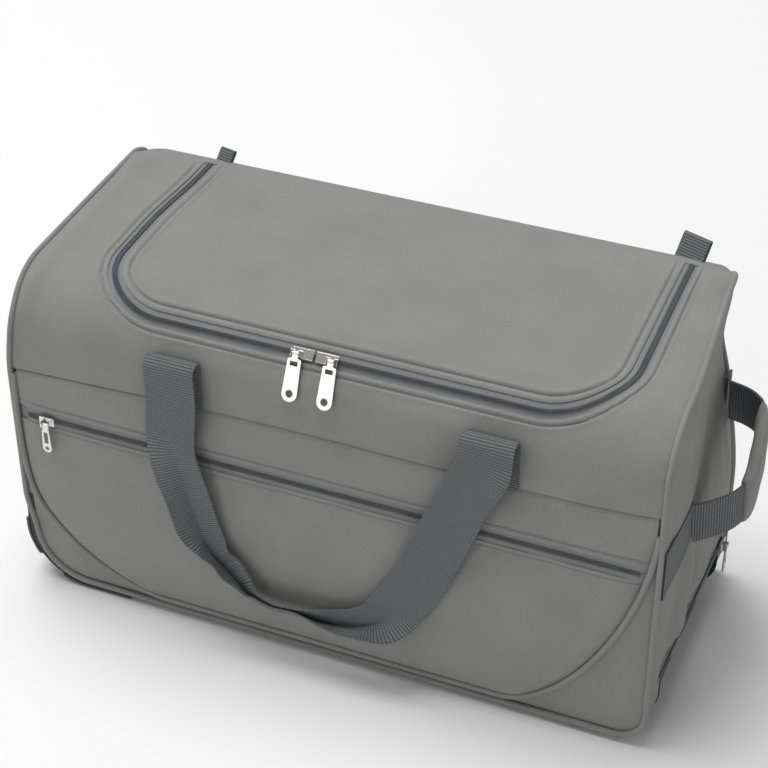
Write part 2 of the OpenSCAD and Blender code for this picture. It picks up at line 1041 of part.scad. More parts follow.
// Release bar behind the button, with a rod down each inner tube
module push_rods() {
    color(steel) {
        box([yoke_x[0], -tube_y - 3, tube_z - 2.4], [yoke_x[1], tube_y + 3, tube_z + 2.4]);
        bar_along_x(0, tube_z, 2.4, yoke_x[1], button_x[0]);
        for (y = [-tube_y, tube_y])
            bar_along_x(y, tube_z, rod_r, tubes_start + 30, yoke_x[0]);
    }
}

// A zip slider over the coil: plate, two lugs and the pull's pin
module slider(ends) {
    box([ends[0], -slider_half, slider_z[0]], [ends[1], slider_half, slider_z[1]]);
    for (side = [-1, 1])
        translate([side * lug[0], pin_y, 0])
            box([-lug[1], -lug[2], slider_z[1]], [lug[1], lug[2], pin_z + lug[3]]);
    bar_along_x(pin_y, pin_z, pin_r, lug[1] - lug[0], lug[0] - lug[1]);
}

// A pull with an eye on the slider's pin, a window and a round hole
module pull(length, width, window, hole_r, droop) {
    translate([0, pin_y, pin_z])
        rotate([droop, 0, 0])
            difference() {
                union() {
                    bar_along_x(0, 0, 1.8, -2.6, 2.6);
                    box([-pull_neck[0], -6, -pull_t / 2], [pull_neck[0], 0, pull_t / 2]);
                    translate([0, 0, -pull_t / 2])
                        linear_extrude(pull_t)
                            pull_outline(length, width / 2);
                }
                bar_along_x(0, 0, pin_r + 0.1, -5, 5);
                box([-window[0] / 2, -window[2], -5], [window[0] / 2, -window[1], 5]);
                translate([0, -length + width / 2, -5])
                    cylinder(r = hole_r, h = 10, $fn = 48);
            }
}

module pull_outline(length, end_r) {
    polygon(concat([[-pull_neck[0], -pull_neck[1]], [-end_r + 1, -pull_neck[2]]],
        round_arc([0, -length + end_r], end_r, 180, 360),
        [[end_r - 1, -pull_neck[2]], [pull_neck[0], -pull_neck[1]]]));
}

module main_pull() {
    pull(pull_l, pull_w, pull_window, pull_hole_r, pull_droop);
}

module small_pull() {
    pull(small_pull_l, small_pull_w, small_pull_window, small_pull_hole_r, 0);
}

// Places on the lid's zip, on the pocket's zip and on the foot's zip
module on_lid_zip(x) {
    translate([x, -lid_front, zip_z])
        rotate([zip_angle, 0, 0])
            children();
}

module on_pocket_zip() {
    translate([pocket_slider_x, pocket_y, pocket_zip_z])
        rotate([90, 0, 0])
            children();
}

module on_foot_zip() {
    translate([right_x + tape_t + coil_t - 0.8, foot_slider_y, foot_zip_z])
        rotate([90, 0, 90])
            children();
}

module left_slider() {
    color(steel)
        on_lid_zip(left_pin_x)
            slider(left_slider_x);
}

module right_slider() {
    color(steel)
        on_lid_zip(right_pin_x)
            slider(right_slider_x);
}

module left_pull() {
    color(steel)
        on_lid_zip(left_pin_x)
            main_pull();
}

module right_pull() {
    color(steel)
        on_lid_zip(right_pin_x)
            main_pull();
}

module pocket_slider() {
    color(steel)
        on_pocket_zip()
            slider(slider_x);
}

module pocket_pull() {
    color(steel)
        on_pocket_zip()
            small_pull();
}

module foot_slider() {
    color(steel)
        on_foot_zip()
            slider(slider_x);
}

module foot_pull() {
    color(steel)
        on_foot_zip()
            small_pull();
}

bottom_panel();
front_panel();
back_panel();
top_panel();
left_end_panel();
right_end_panel();
pocket_panel();
front_yoke();
edge_piping();
pocket_piping();
top_zip_tape();
top_zip_coil();
pocket_zip_tape();
pocket_zip_coil();
foot_zip_tape();
foot_zip_coil();
zip_end_tabs();
strap_roots();
end_webbing();
grab_loop();
grab_sleeve();
base_board();
floor_cover();
front_wheel_housing();
rear_wheel_housing();
corner_guards();
axles();
feet();
screws();
outer_tubes();
tube_saddles();
handle_cup();
lid_panel();
lid_zip_tape();
lid_zip_coil();
left_slider();
right_slider();
left_pull();
right_pull();
pocket_slider();
pocket_pull();
foot_slider();
foot_pull();
front_strap();
rear_strap();
front_strap_folds();
rear_strap_folds();
front_tyre();
front_hub();
front_bushes();
rear_tyre();
rear_hub();
rear_bushes();
middle_tubes();
inner_tubes();
handle_grip();
grip_button();
button_spring();
push_rods();
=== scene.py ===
"""Rolling duffel bag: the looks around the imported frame.

Shapes are worked out in millimetres in the frame's axes, and meshes are made in metres.
+X runs to the pull-out handle, -Y is the front and +Z is up.
"""

import math

import bpy
import numpy as np
from mathutils import Matrix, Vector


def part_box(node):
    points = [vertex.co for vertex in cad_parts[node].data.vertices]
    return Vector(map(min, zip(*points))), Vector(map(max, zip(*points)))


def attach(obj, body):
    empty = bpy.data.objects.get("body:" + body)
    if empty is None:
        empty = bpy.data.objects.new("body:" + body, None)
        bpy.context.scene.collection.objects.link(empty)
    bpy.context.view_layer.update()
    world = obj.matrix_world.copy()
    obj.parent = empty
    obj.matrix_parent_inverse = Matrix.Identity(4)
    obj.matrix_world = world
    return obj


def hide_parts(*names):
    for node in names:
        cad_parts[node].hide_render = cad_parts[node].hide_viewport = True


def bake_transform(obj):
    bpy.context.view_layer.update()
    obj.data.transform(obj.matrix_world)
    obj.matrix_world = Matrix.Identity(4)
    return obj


MM = 0.001
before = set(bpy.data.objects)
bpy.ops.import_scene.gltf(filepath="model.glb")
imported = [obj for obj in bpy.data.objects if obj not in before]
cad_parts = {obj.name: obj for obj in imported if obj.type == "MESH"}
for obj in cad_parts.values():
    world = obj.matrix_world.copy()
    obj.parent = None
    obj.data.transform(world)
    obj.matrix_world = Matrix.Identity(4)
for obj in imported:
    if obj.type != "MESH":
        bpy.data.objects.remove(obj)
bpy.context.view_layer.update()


def low(node):
    return np.array(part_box(node)[0]) / MM


def high(node):
    return np.array(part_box(node)[1]) / MM


# Main planes of the bag, from the frame
LEFT, RIGHT = low("left_end_panel")[0], high("right_end_panel")[0]
FRONT, BACK = low("front_panel")[1], high("back_panel")[1]
BASE, SEAM = low("front_panel")[2], high("front_panel")[2]
TOP = high("back_panel")[2]
MID = (LEFT + RIGHT) / 2
POCKET = low("pocket_panel")[1]
POCKET_ZIP = (low("pocket_zip_coil")[2] + high("pocket_zip_coil")[2]) / 2
HINGE = high("top_panel")[1]
CUP_LOW, CUP_HIGH = low("handle_cup"), high("handle_cup")
HOUSING = high("front_wheel_housing")
HOUSING_IN = -high("front_wheel_housing")[1]

# Radii and sizes of the cloth. The back's upper edge is tighter than the CAD panel's
SHOULDER_R, BACK_R, CROWN_DROP = 55, 9, 10
WHEEL_CORNER, FOOT_CORNER = 52, 28
PANEL_T = 2.4
LID_X = (low("lid_panel")[0] + high("lid_panel")[0]) / 2
LID_HALF, LID_CORNER, LID_FRONT = 240, 70, 110
WEBBING_W, WEBBING_T = 47, 2.2
PIPING_R = 2.7
U_TOP, U_FLAT = 228, 165
U_LOW = low("pocket_panel")[2] - BASE


# ---------------------------------------------------------------- materials


def new_material(name):
    m = bpy.data.materials.new(name)
    m.use_nodes = True
    return m, m.node_tree.nodes, m.node_tree.links, m.node_tree.nodes["Principled BSDF"]


def node(nodes, kind, inputs=(), **settings):
    n = nodes.new("ShaderNode" + kind)
    for key, value in settings.items():
        setattr(n, key, value)
    for key, value in dict(inputs).items():
        n.inputs[key].default_value = value
    return n


def srgb(r, g, b):
    """Linear colour of an 8-bit sRGB colour."""
    c = np.array([r, g, b]) / 255
    lin = np.where(c <= 0.04045, c / 12.92, ((c + 0.055) / 1.055) ** 2.4)
    return (*lin.tolist(), 1.0)


def weave_coordinates(nodes, links, pitch):
    """U and V of the weave map in threads, as two sockets."""
    uv = node(nodes, "UVMap", uv_map="weave")
    scaled = node(nodes, "VectorMath", {1: (1 / pitch[0], 1 / pitch[1], 1)}, operation="MULTIPLY")
    split = node(nodes, "SeparateXYZ")
    links.new(uv.outputs["UV"], scaled.inputs[0])
    links.new(scaled.outputs[0], split.inputs[0])
    return split.outputs["X"], split.outputs["Y"]


def math_node(nodes, links, operation, a, b=None, clamp=False):
    n = node(nodes, "Math", operation=operation, use_clamp=clamp)
    for i, value in enumerate((a, b)):
        if value is None:
            continue
        if isinstance(value, (int, float)):
            n.inputs[i].default_value = value
        else:
            links.new(value, n.inputs[i])
    return n.outputs[0]


def thread_height(nodes, links, pitch, twill=0.0):
    """Height of a plain or twill weave: round threads that pass over and under each other."""
    u, v = weave_coordinates(nodes, links, pitch)
    shifted = math_node(nodes, links, "ADD", u, math_node(nodes, links, "MULTIPLY", v, twill))
    warp = math_node(nodes, links, "SINE", math_node(nodes, links, "MULTIPLY", shifted, 2 * math.pi))
    weft = math_node(nodes, links, "SINE", math_node(nodes, links, "MULTIPLY", v, 2 * math.pi))
    return math_node(nodes, links, "ABSOLUTE", math_node(nodes, links, "MULTIPLY", warp, weft))


def mix_colours(nodes, links, factor, a, b):
    n = node(nodes, "Mix", data_type="RGBA")
    links.new(factor, n.inputs["Factor"])
    n.inputs["A"].default_value = a
    n.inputs["B"].default_value = b
    return n.outputs["Result"]


def noise(nodes, links, scale, detail=3.0):
    where = node(nodes, "TexCoord")
    n = node(nodes, "TexNoise", {"Scale": scale, "Detail": detail})
    links.new(where.outputs["Object"], n.inputs["Vector"])
    return n.outputs["Fac"]


def bump(nodes, links, height, distance, strength, before=None):
    n = node(nodes, "Bump", {"Strength": strength, "Distance": distance})
    links.new(height, n.inputs["Height"])
    if before is not None:
        links.new(before, n.inputs["Normal"])
    return n.outputs["Normal"]


def woven(name, dark, light, pitch, depth, roughness, sheen, twill=0.0, parts=(0.55, 0.25, 0.2)):
    """Woven cloth: threads, slow patches and fine flecks of colour in the given parts, and a soft sheen."""
    m, nodes, links, shader = new_material(name)
    threads = thread_height(nodes, links, pitch, twill)
    slow = noise(nodes, links, 22)
    flecks = math_node(nodes, links, "MULTIPLY", noise(nodes, links, 900, 2), 3.0)
    flecks = math_node(nodes, links, "SUBTRACT", flecks, 1.0, True)
    mixed = 0.0
    for value, part in zip((threads, slow, flecks), parts):
        mixed = math_node(nodes, links, "ADD", math_node(nodes, links, "MULTIPLY", value, part), mixed)
    links.new(mix_colours(nodes, links, mixed, dark, light), shader.inputs["Base Color"])
    rough = math_node(nodes, links, "ADD", math_node(nodes, links, "MULTIPLY", slow, 0.15), roughness - 0.07)
    links.new(rough, shader.inputs["Roughness"])
    puckers = bump(nodes, links, noise(nodes, links, 60, 2), 0.0006, 0.35)
    links.new(bump(nodes, links, threads, depth, 0.9, puckers), shader.inputs["Normal"])
    shader.inputs["Sheen Weight"].default_value = sheen
    shader.inputs["Sheen Roughness"].default_value = 0.5
    shader.inputs["Specular IOR Level"].default_value = 0.25
    return m


def moulded(name, colour, worn, roughness, grain=900):
    """Moulded plastic or rubber with a fine grain, slow gloss variation and paler worn patches."""
    m, nodes, links, shader = new_material(name)
    wear = math_node(nodes, links, "POWER", noise(nodes, links, 70, 5), 3.0)
    links.new(mix_colours(nodes, links, wear, colour, worn), shader.inputs["Base Color"])
    rough = math_node(nodes, links, "MULTIPLY", noise(nodes, links, 40), 0.25)
    links.new(math_node(nodes, links, "ADD", rough, roughness - 0.1), shader.inputs["Roughness"])
    links.new(bump(nodes, links, noise(nodes, links, grain, 2), 0.00015, 0.5), shader.inputs["Normal"])
    return m


def metal(name, colour, roughness, brushed=(1, 1, 1)):
    """Plated or drawn metal with fine scratches along one direction."""
    m, nodes, links, shader = new_material(name)
    where = node(nodes, "TexCoord")
    stretch = node(nodes, "Mapping", {"Scale": brushed})
    scratches = node(nodes, "TexNoise", {"Scale": 1500, "Detail": 3})
    links.new(where.outputs["Object"], stretch.inputs["Vector"])
    links.new(stretch.outputs["Vector"], scratches.inputs["Vector"])
    shader.inputs["Base Color"].default_value = colour
    shader.inputs["Metallic"].default_value = 1.0
    rough = math_node(nodes, links, "MULTIPLY", scratches.outputs["Fac"], 0.18)
    links.new(math_node(nodes, links, "ADD", rough, roughness - 0.09), shader.inputs["Roughness"])
    links.new(bump(nodes, links, scratches.outputs["Fac"], 0.00004, 0.4), shader.inputs["Normal"])
    return m


FABRIC = woven("bag_fabric", srgb(128, 128, 126), srgb(176, 176, 173), (0.9, 0.9), 0.0002, 0.8, 0.2,
               0.5, (0.35, 0.35, 0.22))
LINING = woven("lining_cloth", srgb(44, 46, 49), srgb(70, 72, 76), (1.2, 1.2), 0.0001, 0.6, 0.2)
WEBBING = woven("webbing", srgb(52, 57, 60), srgb(168, 175, 178), (3.0, 5.0), 0.0018, 0.7, 0.2, 0.5,
                (0.85, 0.1, 0.1))
TAPE = woven("zip_tape", srgb(122, 124, 124), srgb(170, 172, 172), (0.8, 0.8), 0.0002, 0.7, 0.2)
COIL = moulded("zip_coil", srgb(70, 76, 84), srgb(120, 126, 134), 0.42)
THREAD = woven("thread", srgb(104, 106, 104), srgb(160, 162, 160), (0.5, 0.5), 0.0001, 0.6, 0.2)
BLACK = moulded("black_plastic", srgb(30, 31, 33), srgb(56, 57, 60), 0.42)
GREY = moulded("grey_plastic", srgb(78, 77, 82), srgb(112, 111, 116), 0.5)
RUBBER = moulded("tyre_rubber", srgb(26, 26, 27), srgb(62, 60, 58), 0.75, 500)
BOARD = moulded("lining_board", srgb(50, 52, 55), srgb(76, 78, 82), 0.7, 300)
BUSH = moulded("bush_plastic", srgb(196, 178, 128), srgb(216, 202, 160), 0.4)
RED = moulded("button_red", srgb(150, 28, 30), srgb(178, 70, 66), 0.35)
NICKEL = metal("nickel", srgb(226, 224, 220), 0.2)
STEEL = metal("tube_steel", srgb(196, 199, 203), 0.3, (0.05, 1, 1))


# ---------------------------------------------------------------- mesh tools


def smooth(t):
    t = np.clip(t, 0, 1)
    return t * t * (3 - 2 * t)


def hump(d, at, width):
    return np.exp(-(((d - at) / width) ** 2))


def ripples(a, b, seed, size, count=7):
    """Smooth unevenness between -1 and 1, from waves in seeded directions."""
    rng = np.random.default_rng(seed)
    total = np.zeros(np.broadcast(a, b).shape)
    for _ in range(count):
        angle = rng.uniform(0, 2 * math.pi)
        k = 2 * math.pi / (size * rng.uniform(0.7, 1.6))
        total += np.sin(k * (a * math.cos(angle) + b * math.sin(angle)) + rng.uniform(0, 2 * math.pi))
    return total / count**0.5 / 1.6


def unit(v):
    return v / np.maximum(np.linalg.norm(v, axis=-1, keepdims=True), 1e-9)


def make_mesh(name, points, faces, uv, materials, face_material=None, sharp=40):
    """Object from points in millimetres, with a weave map in millimetres of cloth."""
    mesh = bpy.data.meshes.new(name)
    mesh.from_pydata((np.asarray(points) * MM).tolist(), [], [list(map(int, f)) for f in faces])
    layer = mesh.uv_layers.new(name="weave")
    corner = np.zeros(len(mesh.loops), np.int32)
    mesh.loops.foreach_get("vertex_index", corner)
    layer.data.foreach_set("uv", np.asarray(uv, np.float32)[corner].ravel())
    for m in materials:
        mesh.materials.append(m)
    if face_material is not None:
        mesh.polygons.foreach_set("material_index", np.asarray(face_material, np.int32))
    mesh.polygons.foreach_set("use_smooth", np.ones(len(mesh.polygons), bool))
    mesh.set_sharp_from_angle(angle=math.radians(sharp))
    mesh.validate()
    mesh.update()
    obj = bpy.data.objects.new(name, mesh)
    bpy.context.scene.collection.objects.link(obj)
    return obj


def grid_normals(p):
    return unit(np.cross(np.gradient(p, axis=0), np.gradient(p, axis=1)))


def sheet(name, points, uv, outer=None, inner=None, thick=PANEL_T, flip=False, keep=None):
    """Closed sheet: points is a grid on its outer face, and keep says which cells are there."""
    rows, cols = points.shape[:2]
    normals = grid_normals(points) * (-1 if flip else 1)
    index = np.arange(rows * cols).reshape(rows, cols)
    keep = np.ones((rows - 1, cols - 1), bool) if keep is None else keep
    quads = np.stack([index[:-1, :-1], index[1:, :-1], index[1:, 1:], index[:-1, 1:]], -1)[keep]
    if flip:
        quads = quads[:, ::-1]
    edges = np.concatenate([quads[:, [i, (i + 1) % 4]] for i in range(4)])
    there = set(map(tuple, edges.tolist()))
    rim = [e for e in there if (e[1], e[0]) not in there]
    n = rows * cols
    faces = quads.tolist() + (quads[:, ::-1] + n).tolist() + [[b, a, a + n, b + n] for a, b in sorted(rim)]
    co = np.concatenate([points.reshape(-1, 3), (points - normals * thick).reshape(-1, 3)])
    uv = np.concatenate([uv.reshape(-1, 2)] * 2)
    kind = [0] * len(quads) + [1] * len(quads) + [0] * len(rim)
    used = np.unique(np.concatenate([np.ravel(f) for f in (quads, quads + n)]))
    renumber = np.full(2 * n, -1)
    renumber[used] = np.arange(len(used))
    faces = [[renumber[i] for i in f] for f in faces]
    return make_mesh(name, co[used], faces, uv[used], [outer or FABRIC, inner or LINING], kind)


def sweep(name, path, section, wide, thick, material, closed=False, sharp=50):
    """Closed bar: section is a ring of (across, up) points, scaled along wide and thick vectors."""
    path, ring = np.asarray(path), np.asarray(section)
    n, m = len(path), len(ring) if np.asarray(section).ndim == 2 else ring.shape[1]
    ring = np.broadcast_to(ring, (n, m, 2))
    co = path[:, None] + ring[..., :1] * wide[:, None] + ring[..., 1:] * thick[:, None]
    along = np.concatenate([[0], np.cumsum(np.linalg.norm(np.diff(path, axis=0), axis=1))])
    around = np.concatenate([np.zeros((n, 1)),
                             np.cumsum(np.linalg.norm(np.diff(ring, axis=1), axis=2), 1)], 1)
    uv = np.stack([around, np.broadcast_to(along[:, None], (n, m))], -1)
    index = np.arange(n * m).reshape(n, m)
    faces = []
    for i in range(n if closed else n - 1):
        a, b = index[i], index[(i + 1) % n]
        faces += [[a[j], a[(j + 1) % m], b[(j + 1) % m], b[j]] for j in range(m)]
    if not closed:
        faces += [index[0][::-1].tolist(), index[-1].tolist()]
    return make_mesh(name, co.reshape(-1, 3), faces, uv.reshape(-1, 2), [material], None, sharp)


def ring(radius_a, radius_b, count=12):
    a = np.linspace(0, 2 * math.pi, count, endpoint=False)
    return np.stack([radius_a * np.cos(a), radius_b * np.sin(a)], 1)


def tangents(path, closed=False):
    if closed:
        return unit(np.roll(path, -1, 0) - np.roll(path, 1, 0))
    return unit(np.gradient(path, axis=0))


def tube(name, path, radius, material, up, closed=False, count=10):
    """Round cord along a path. up gives a direction that the path never follows."""
    t = tangents(path, closed)
    wide = unit(np.cross(t, up))
    return sweep(name, path, ring(radius, radius, count), wide, np.cross(wide, t), material, closed)


def resample(path, step):
    """Points a step apart along a path."""
    length = np.concatenate([[0], np.cumsum(np.linalg.norm(np.diff(path, axis=0), axis=1))])
    at = np.linspace(0, length[-1], max(2, int(round(length[-1] / step)) + 1))
    return np.stack([np.interp(at, length, path[:, i]) for i in range(path.shape[1])], 1)


def curve_through(points, count):
    """Smooth curve through a few points: a centripetal spline, sampled evenly in its parameter."""
    p = np.asarray(points, float)
    p = np.concatenate([[2 * p[0] - p[1]], p, [2 * p[-1] - p[-2]]])
    out = []
    for at in np.linspace(0, len(points) - 1, count):
        i = min(int(at), len(points) - 2)
        t, (a, b, c, d) = at - i, p[i : i + 4]
        out.append(0.5 * (2 * b + (c - a) * t + (2 * a - 5 * b + 4 * c - d) * t**2
                          + (3 * b - a - 3 * c + d) * t**3))
    return np.array(out)


def scatter(name, places, along, up, template, faces, material):
    """One mesh of many small closed shapes, each a template of (along, across, up) points."""
    across = np.cross(up, along)
    t = np.asarray(template)
    co = places[:, None] + t[:, :1] * along[:, None] + t[:, 1:2] * across[:, None] + t[:, 2:] * up[:, None]
    n, m = len(places), len(t)
    all_faces = [[i * m + k for k in f] for i in range(n) for f in faces]
    uv = np.broadcast_to(t[None, :, :2], (n, m, 2)).reshape(-1, 2)
    return make_mesh(name, co.reshape(-1, 3), all_faces, uv, [material], None, 60)


def capsule(length, width, height):
    """Little rounded bar along X, six sided, for a stitch or a tooth."""
    around = [(math.cos(a), math.sin(a)) for a in np.arange(6) * math.pi / 3]
    stations = [(-0.5, 0.45), (-0.34, 1), (0.34, 1), (0.5, 0.45)]
    points = [(x * length, c * r * width / 2, s * r * height / 2) for x, r in stations for c, s in around]
    faces = [[i * 6 + j, i * 6 + (j + 1) % 6, i * 6 + 6 + (j + 1) % 6, i * 6 + 6 + j] for i in range(3)
             for j in range(6)]
    faces = [f[::-1] for f in faces] + [list(range(6)), list(range(23, 17, -1))]
    return points, faces


def place(obj, body, slot, *replaced):
    """Rides a piece on a body and hides the nodes that it stands for; slot, its finish, is not used."""
    if body:
        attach(obj, body)
    if replaced:
        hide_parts(*replaced)
    return obj


# ---------------------------------------------------------------- the bag's surface


def build_profile():
    """Cross-section from the seam up over the shoulder, the top and the back corner and down the back."""
    back = np.array([BACK - BACK_R, TOP - BACK_R])
    shoulder = np.array([FRONT + SHOULDER_R, TOP - CROWN_DROP - SHOULDER_R])
    between = back - shoulder
    crown = math.atan2(between[1], between[0]) + math.acos((SHOULDER_R - BACK_R) / np.linalg.norm(between))
    first = np.linspace(math.pi, crown, 60)
    second = np.linspace(crown, 0, 40)
    y = np.concatenate([[FRONT], shoulder[0] + SHOULDER_R * np.cos(first), back[0]
                        + BACK_R * np.cos(second), [BACK]])
    z = np.concatenate([[SEAM], shoulder[1] + SHOULDER_R * np.sin(first), back[1]
                        + BACK_R * np.sin(second), [BASE]])
    angle = np.concatenate([[math.pi], first, second, [0]])
    s = np.concatenate([[0], np.cumsum(np.hypot(np.diff(y), np.diff(z)))])
    return s, y, z, angle


S, Y, Z, ANGLE = build_profile()
S_SHOULDER = S[1]
S_ZIP = S_SHOULDER + SHOULDER_R * (math.pi / 2 - math.asin((LID_FRONT - (-FRONT - SHOULDER_R)) / SHOULDER_R))
S_HINGE = np.interp(HINGE, Y[2:-1], S[2:-1])
S_CORNER = S[-2]


def settle(p):
    """Slack of the whole bag: leaning and swelling ends, and soft upper back corners."""
    p = np.array(p, float)
    half, soft = RIGHT - MID, 26
    x, y, z = p[..., 0] - MID, p[..., 1], p[..., 2]
    left, right = np.clip(-x / half, 0, 1.02), np.clip(x / half, 0, 1.1)
    lean = 20 * smooth((z - 112) / 165) - 6 * smooth((z - 285) / 60)
    shift = -lean * smooth((y + 90) / 215) * right**8
    shift -= 8 * smooth((z - 52) / 50) * (1 - smooth((z - 235) / 75)) * left**6
    shift += (3 + 7 * smooth(y / 100)) * hump(x, -232, 45) * smooth((z - 290) / 20)
    u = np.clip((np.abs(x) - half + soft) / soft, 0, 1)
    v = np.clip((y - BACK + soft) / soft, 0, 1)
    high_up = smooth((z - 220) / 90)
    shift -= np.sign(x) * soft * u * (1 - np.sqrt(1 - v**2 / 2)) * high_up
    p[..., 1] -= soft * v * (1 - np.sqrt(1 - u**2 / 2)) * high_up
    p[..., 2] -= 7 * u**2 * v**2 * high_up
    p[..., 0] += shift
    return p


def seam_wave(x):
    """How far the seam under the top panel strays from its level."""
    u = (x - MID) / (RIGHT - MID)
    return -1.5 + 1.5 * np.cos(4.2 * u) + 7 * u**3


def on_top(x, s, h=0.0):
    """Point on the upper skin: x along the bag, s up from the seam, h out from the surface."""
    x, s, h = np.broadcast_arrays(x, s, h)
    a = np.interp(s, S, ANGLE)
    y = np.interp(s, S, Y) + h * np.cos(a)
    z = np.interp(s, S, Z) + np.minimum(s, 0) + h * np.sin(a)
    return settle(np.stack([x, y, z], -1))


def top_normal(s):
    a = np.interp(s, S, ANGLE)
    return np.stack([np.zeros_like(a), np.cos(a), np.sin(a)], -1)


def lid_line(u, step=4.0):
    """Line round the lid, u outside the middle of its zip, as (x, s) points with fixed counts."""
    side = int((S_HINGE - S_ZIP - LID_CORNER) / step)
    bend = int(1.6 * LID_CORNER / step)
    front = int(2 * (LID_HALF - LID_CORNER) / step)
    w, r, s0 = LID_HALF + u, LID_CORNER + u, S_ZIP - u
    a = np.linspace(math.pi, 1.5 * math.pi, bend, endpoint=False)
    left = np.stack([np.full(side, LID_X - w), np.linspace(S_HINGE, s0 + r, side, endpoint=False)], 1)
    corner = np.stack([LID_X - w + r + r * np.cos(a), s0 + r + r * np.sin(a)], 1)
    middle = np.stack([np.linspace(LID_X - w + r, LID_X, front // 2, endpoint=False),
                       np.full(front // 2, s0)], 1)
    half = np.concatenate([left, corner, middle])
    mirrored = half[::-1] * [-1, 1] + [2 * LID_X, 0]
    return np.concatenate([half, [[LID_X, s0]], mirrored]), (side, bend)


def outer_line():
    """Line round the top panel's outer edge, point for point with lid_line."""
    line, (side, bend) = lid_line(0)
    turn, middle = bend // 2, len(line) // 2
    halves = []
    for half, wall in ((line[: middle + 1].copy(), LEFT + 1), (line[: middle - 1 : -1].copy(), RIGHT - 1)):
        half[: side + turn, 0] = wall
        half[side : side + turn, 1] = np.linspace(S_ZIP + LID_CORNER, 0, turn, endpoint=False)
        half[side + turn : side + bend, 0] = np.linspace(wall, half[side + bend, 0], bend - turn,
                                                         endpoint=False)
        half[side + turn :, 1] = 0
        half[side:, 1] += seam_wave(half[side:, 0]) * (1 - half[side:, 1] / S[-1])
        halves.append(half)
    return np.concatenate([halves[0], halves[1][-2::-1]])


STUBS_X = [low("strap_roots")[0] + WEBBING_W / 2, high("strap_roots")[0] - WEBBING_W / 2]


def stub_dent(x, s):
    """Dimples where the carry straps pull on the seam."""
    near = sum(np.exp(-(((x - c) / 34) ** 2)) for c in STUBS_X)
    return near * np.exp(-((s / 26) ** 2))


def build_top_panel():
    inner, _ = lid_line(6.5)
    outer = outer_line()
    r = np.linspace(0, 1, 32) ** 1.5
    line = inner[:, None] + (outer - inner)[:, None] * r[None, :, None]
    x, s = line[..., 0], line[..., 1]
    width = np.linalg.norm(outer - inner, axis=1)[:, None]
    d_in, d_out = r * width, (1 - r) * width
    h = (
        1.0 * hump(d_in, 2.2, 1.8) - 1.6 * hump(d_in, 5.4, 0.9)
        + 0.8 * hump(d_in, 8, 2) + 1.2 * smooth(d_in / 25)
    )
    h -= 2.2 * np.exp(-d_out / 2.5)
    h += 2.6 * hump(d_out, 15, 11) * smooth((MID - x) / 200) * smooth((s - 25) / 60)
    h += 1.3 * ripples(x, s, 3, 120) * smooth(d_in / 25) * smooth(d_out / 20)
    h += 2.5 * smooth((s - S_HINGE + 60) / 60) * smooth(d_in / 20)
    h -= 1.6 * stub_dent(x, s)
    points = on_top(x, s, h * (1 - 0.9 * smooth((s - S_HINGE + 16) / 16)))
    piece = sheet("top_panel_cloth", points, np.stack([x, s], -1), flip=True)
    return place(piece, "shell", "bag_fabric", "top_panel")


def build_lid():
    edge = -7.5
    back = S_HINGE + 5
    near = S_ZIP - edge
    rows = near + (back - near) * np.linspace(0, 1, 110) ** 1.5
    r = LID_CORNER + edge
    cut = np.clip(r - (rows - near), 0, r)
    half = LID_HALF + edge - r + np.sqrt(r**2 - cut**2)
    xi = np.sin(np.linspace(-1, 1, 181) * 1.35) / math.sin(1.35)
    x = LID_X + half[:, None] * xi[None]
    s = np.broadcast_to(rows[:, None], x.shape)
    beside = np.abs(x - LID_X) - (LID_HALF + edge - r)
    across = half[:, None] * (1 - np.abs(xi[None]))
    corner = np.hypot(np.clip(beside, 0, None), np.clip(near + r - s, 0, None))
    d = np.where((s < near + r) & (beside > 0), r - corner, np.minimum(across, s - near))
    d = np.maximum(d, 0)
    h = 1.3 * hump(d, 2.6, 2.2) - 1.8 * hump(d, 6.4, 0.9) + 1.1 * hump(d, 9.6, 2.4)
    h += 2.2 * smooth((d - 8) / 60)
    h += 1.2 * ripples(x, s, 11, 150) * smooth(d / 30)
    points = on_top(x, s, h * (1 - 0.75 * smooth((s - back + 30) / 30)))
    piece = sheet("lid_cloth", points, np.stack([x, s], -1), flip=True)
    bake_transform(piece)
    return place(piece, None, "bag_fabric", "lid_panel")


def zip_tape(name, body, side, replaced, width=8.5):
    """One tape of the lid's zip, with its folded inner edge under the coil."""
    us = np.array([0.9, 2.0, 3.2, 4.4, 6.0, 7.2, width]) * side
    lines = [lid_line(u, 3.0)[0] for u in us]
    n = min(len(line) for line in lines)
    grid = np.stack([line[:n] for line in lines], 1)
    h = np.broadcast_to(-0.8 - 0.25 * hump(np.abs(us), 4.2, 0.8), grid.shape[:2])
    points = on_top(grid[..., 0], grid[..., 1], h)
    uv = np.stack([np.broadcast_to(us, grid.shape[:2]),
                   np.broadcast_to(np.arange(n)[:, None] * 3.0, grid.shape[:2])], -1)
    piece = sheet(name, points, uv, TAPE, TAPE, 1.0, flip=side > 0)
    return place(piece, body, "zip_tape", replaced)


def frames_along(path):
    """Middles and directions of the stretches of a path."""
    return (path[1:] + path[:-1]) / 2, unit(np.diff(path, axis=0))


TOOTH_PITCH = 1.8


def teeth(name, body, line, normal, side, replaced, reach=2.7):
    """Half of a zip's coil: teeth that cross the middle, one every pitch."""
    middle, along = frames_along(line)
    up = normal[: len(middle)]
    up = unit(up - along * np.sum(up * along, 1, keepdims=True))
    points, faces = capsule(reach + 0.7, 1.1, 1.6)
    turned = [(y, x * side + side * (reach - 0.7) / 2, z) for x, y, z in points]
    if side > 0:
        faces = [f[::-1] for f in faces]
    start = 0 if side > 0 else 1
    piece = scatter(name, middle[start::2], along[start::2], up[start::2], turned, faces, COIL)
    return place(piece, body, "zip_coil", *replaced)


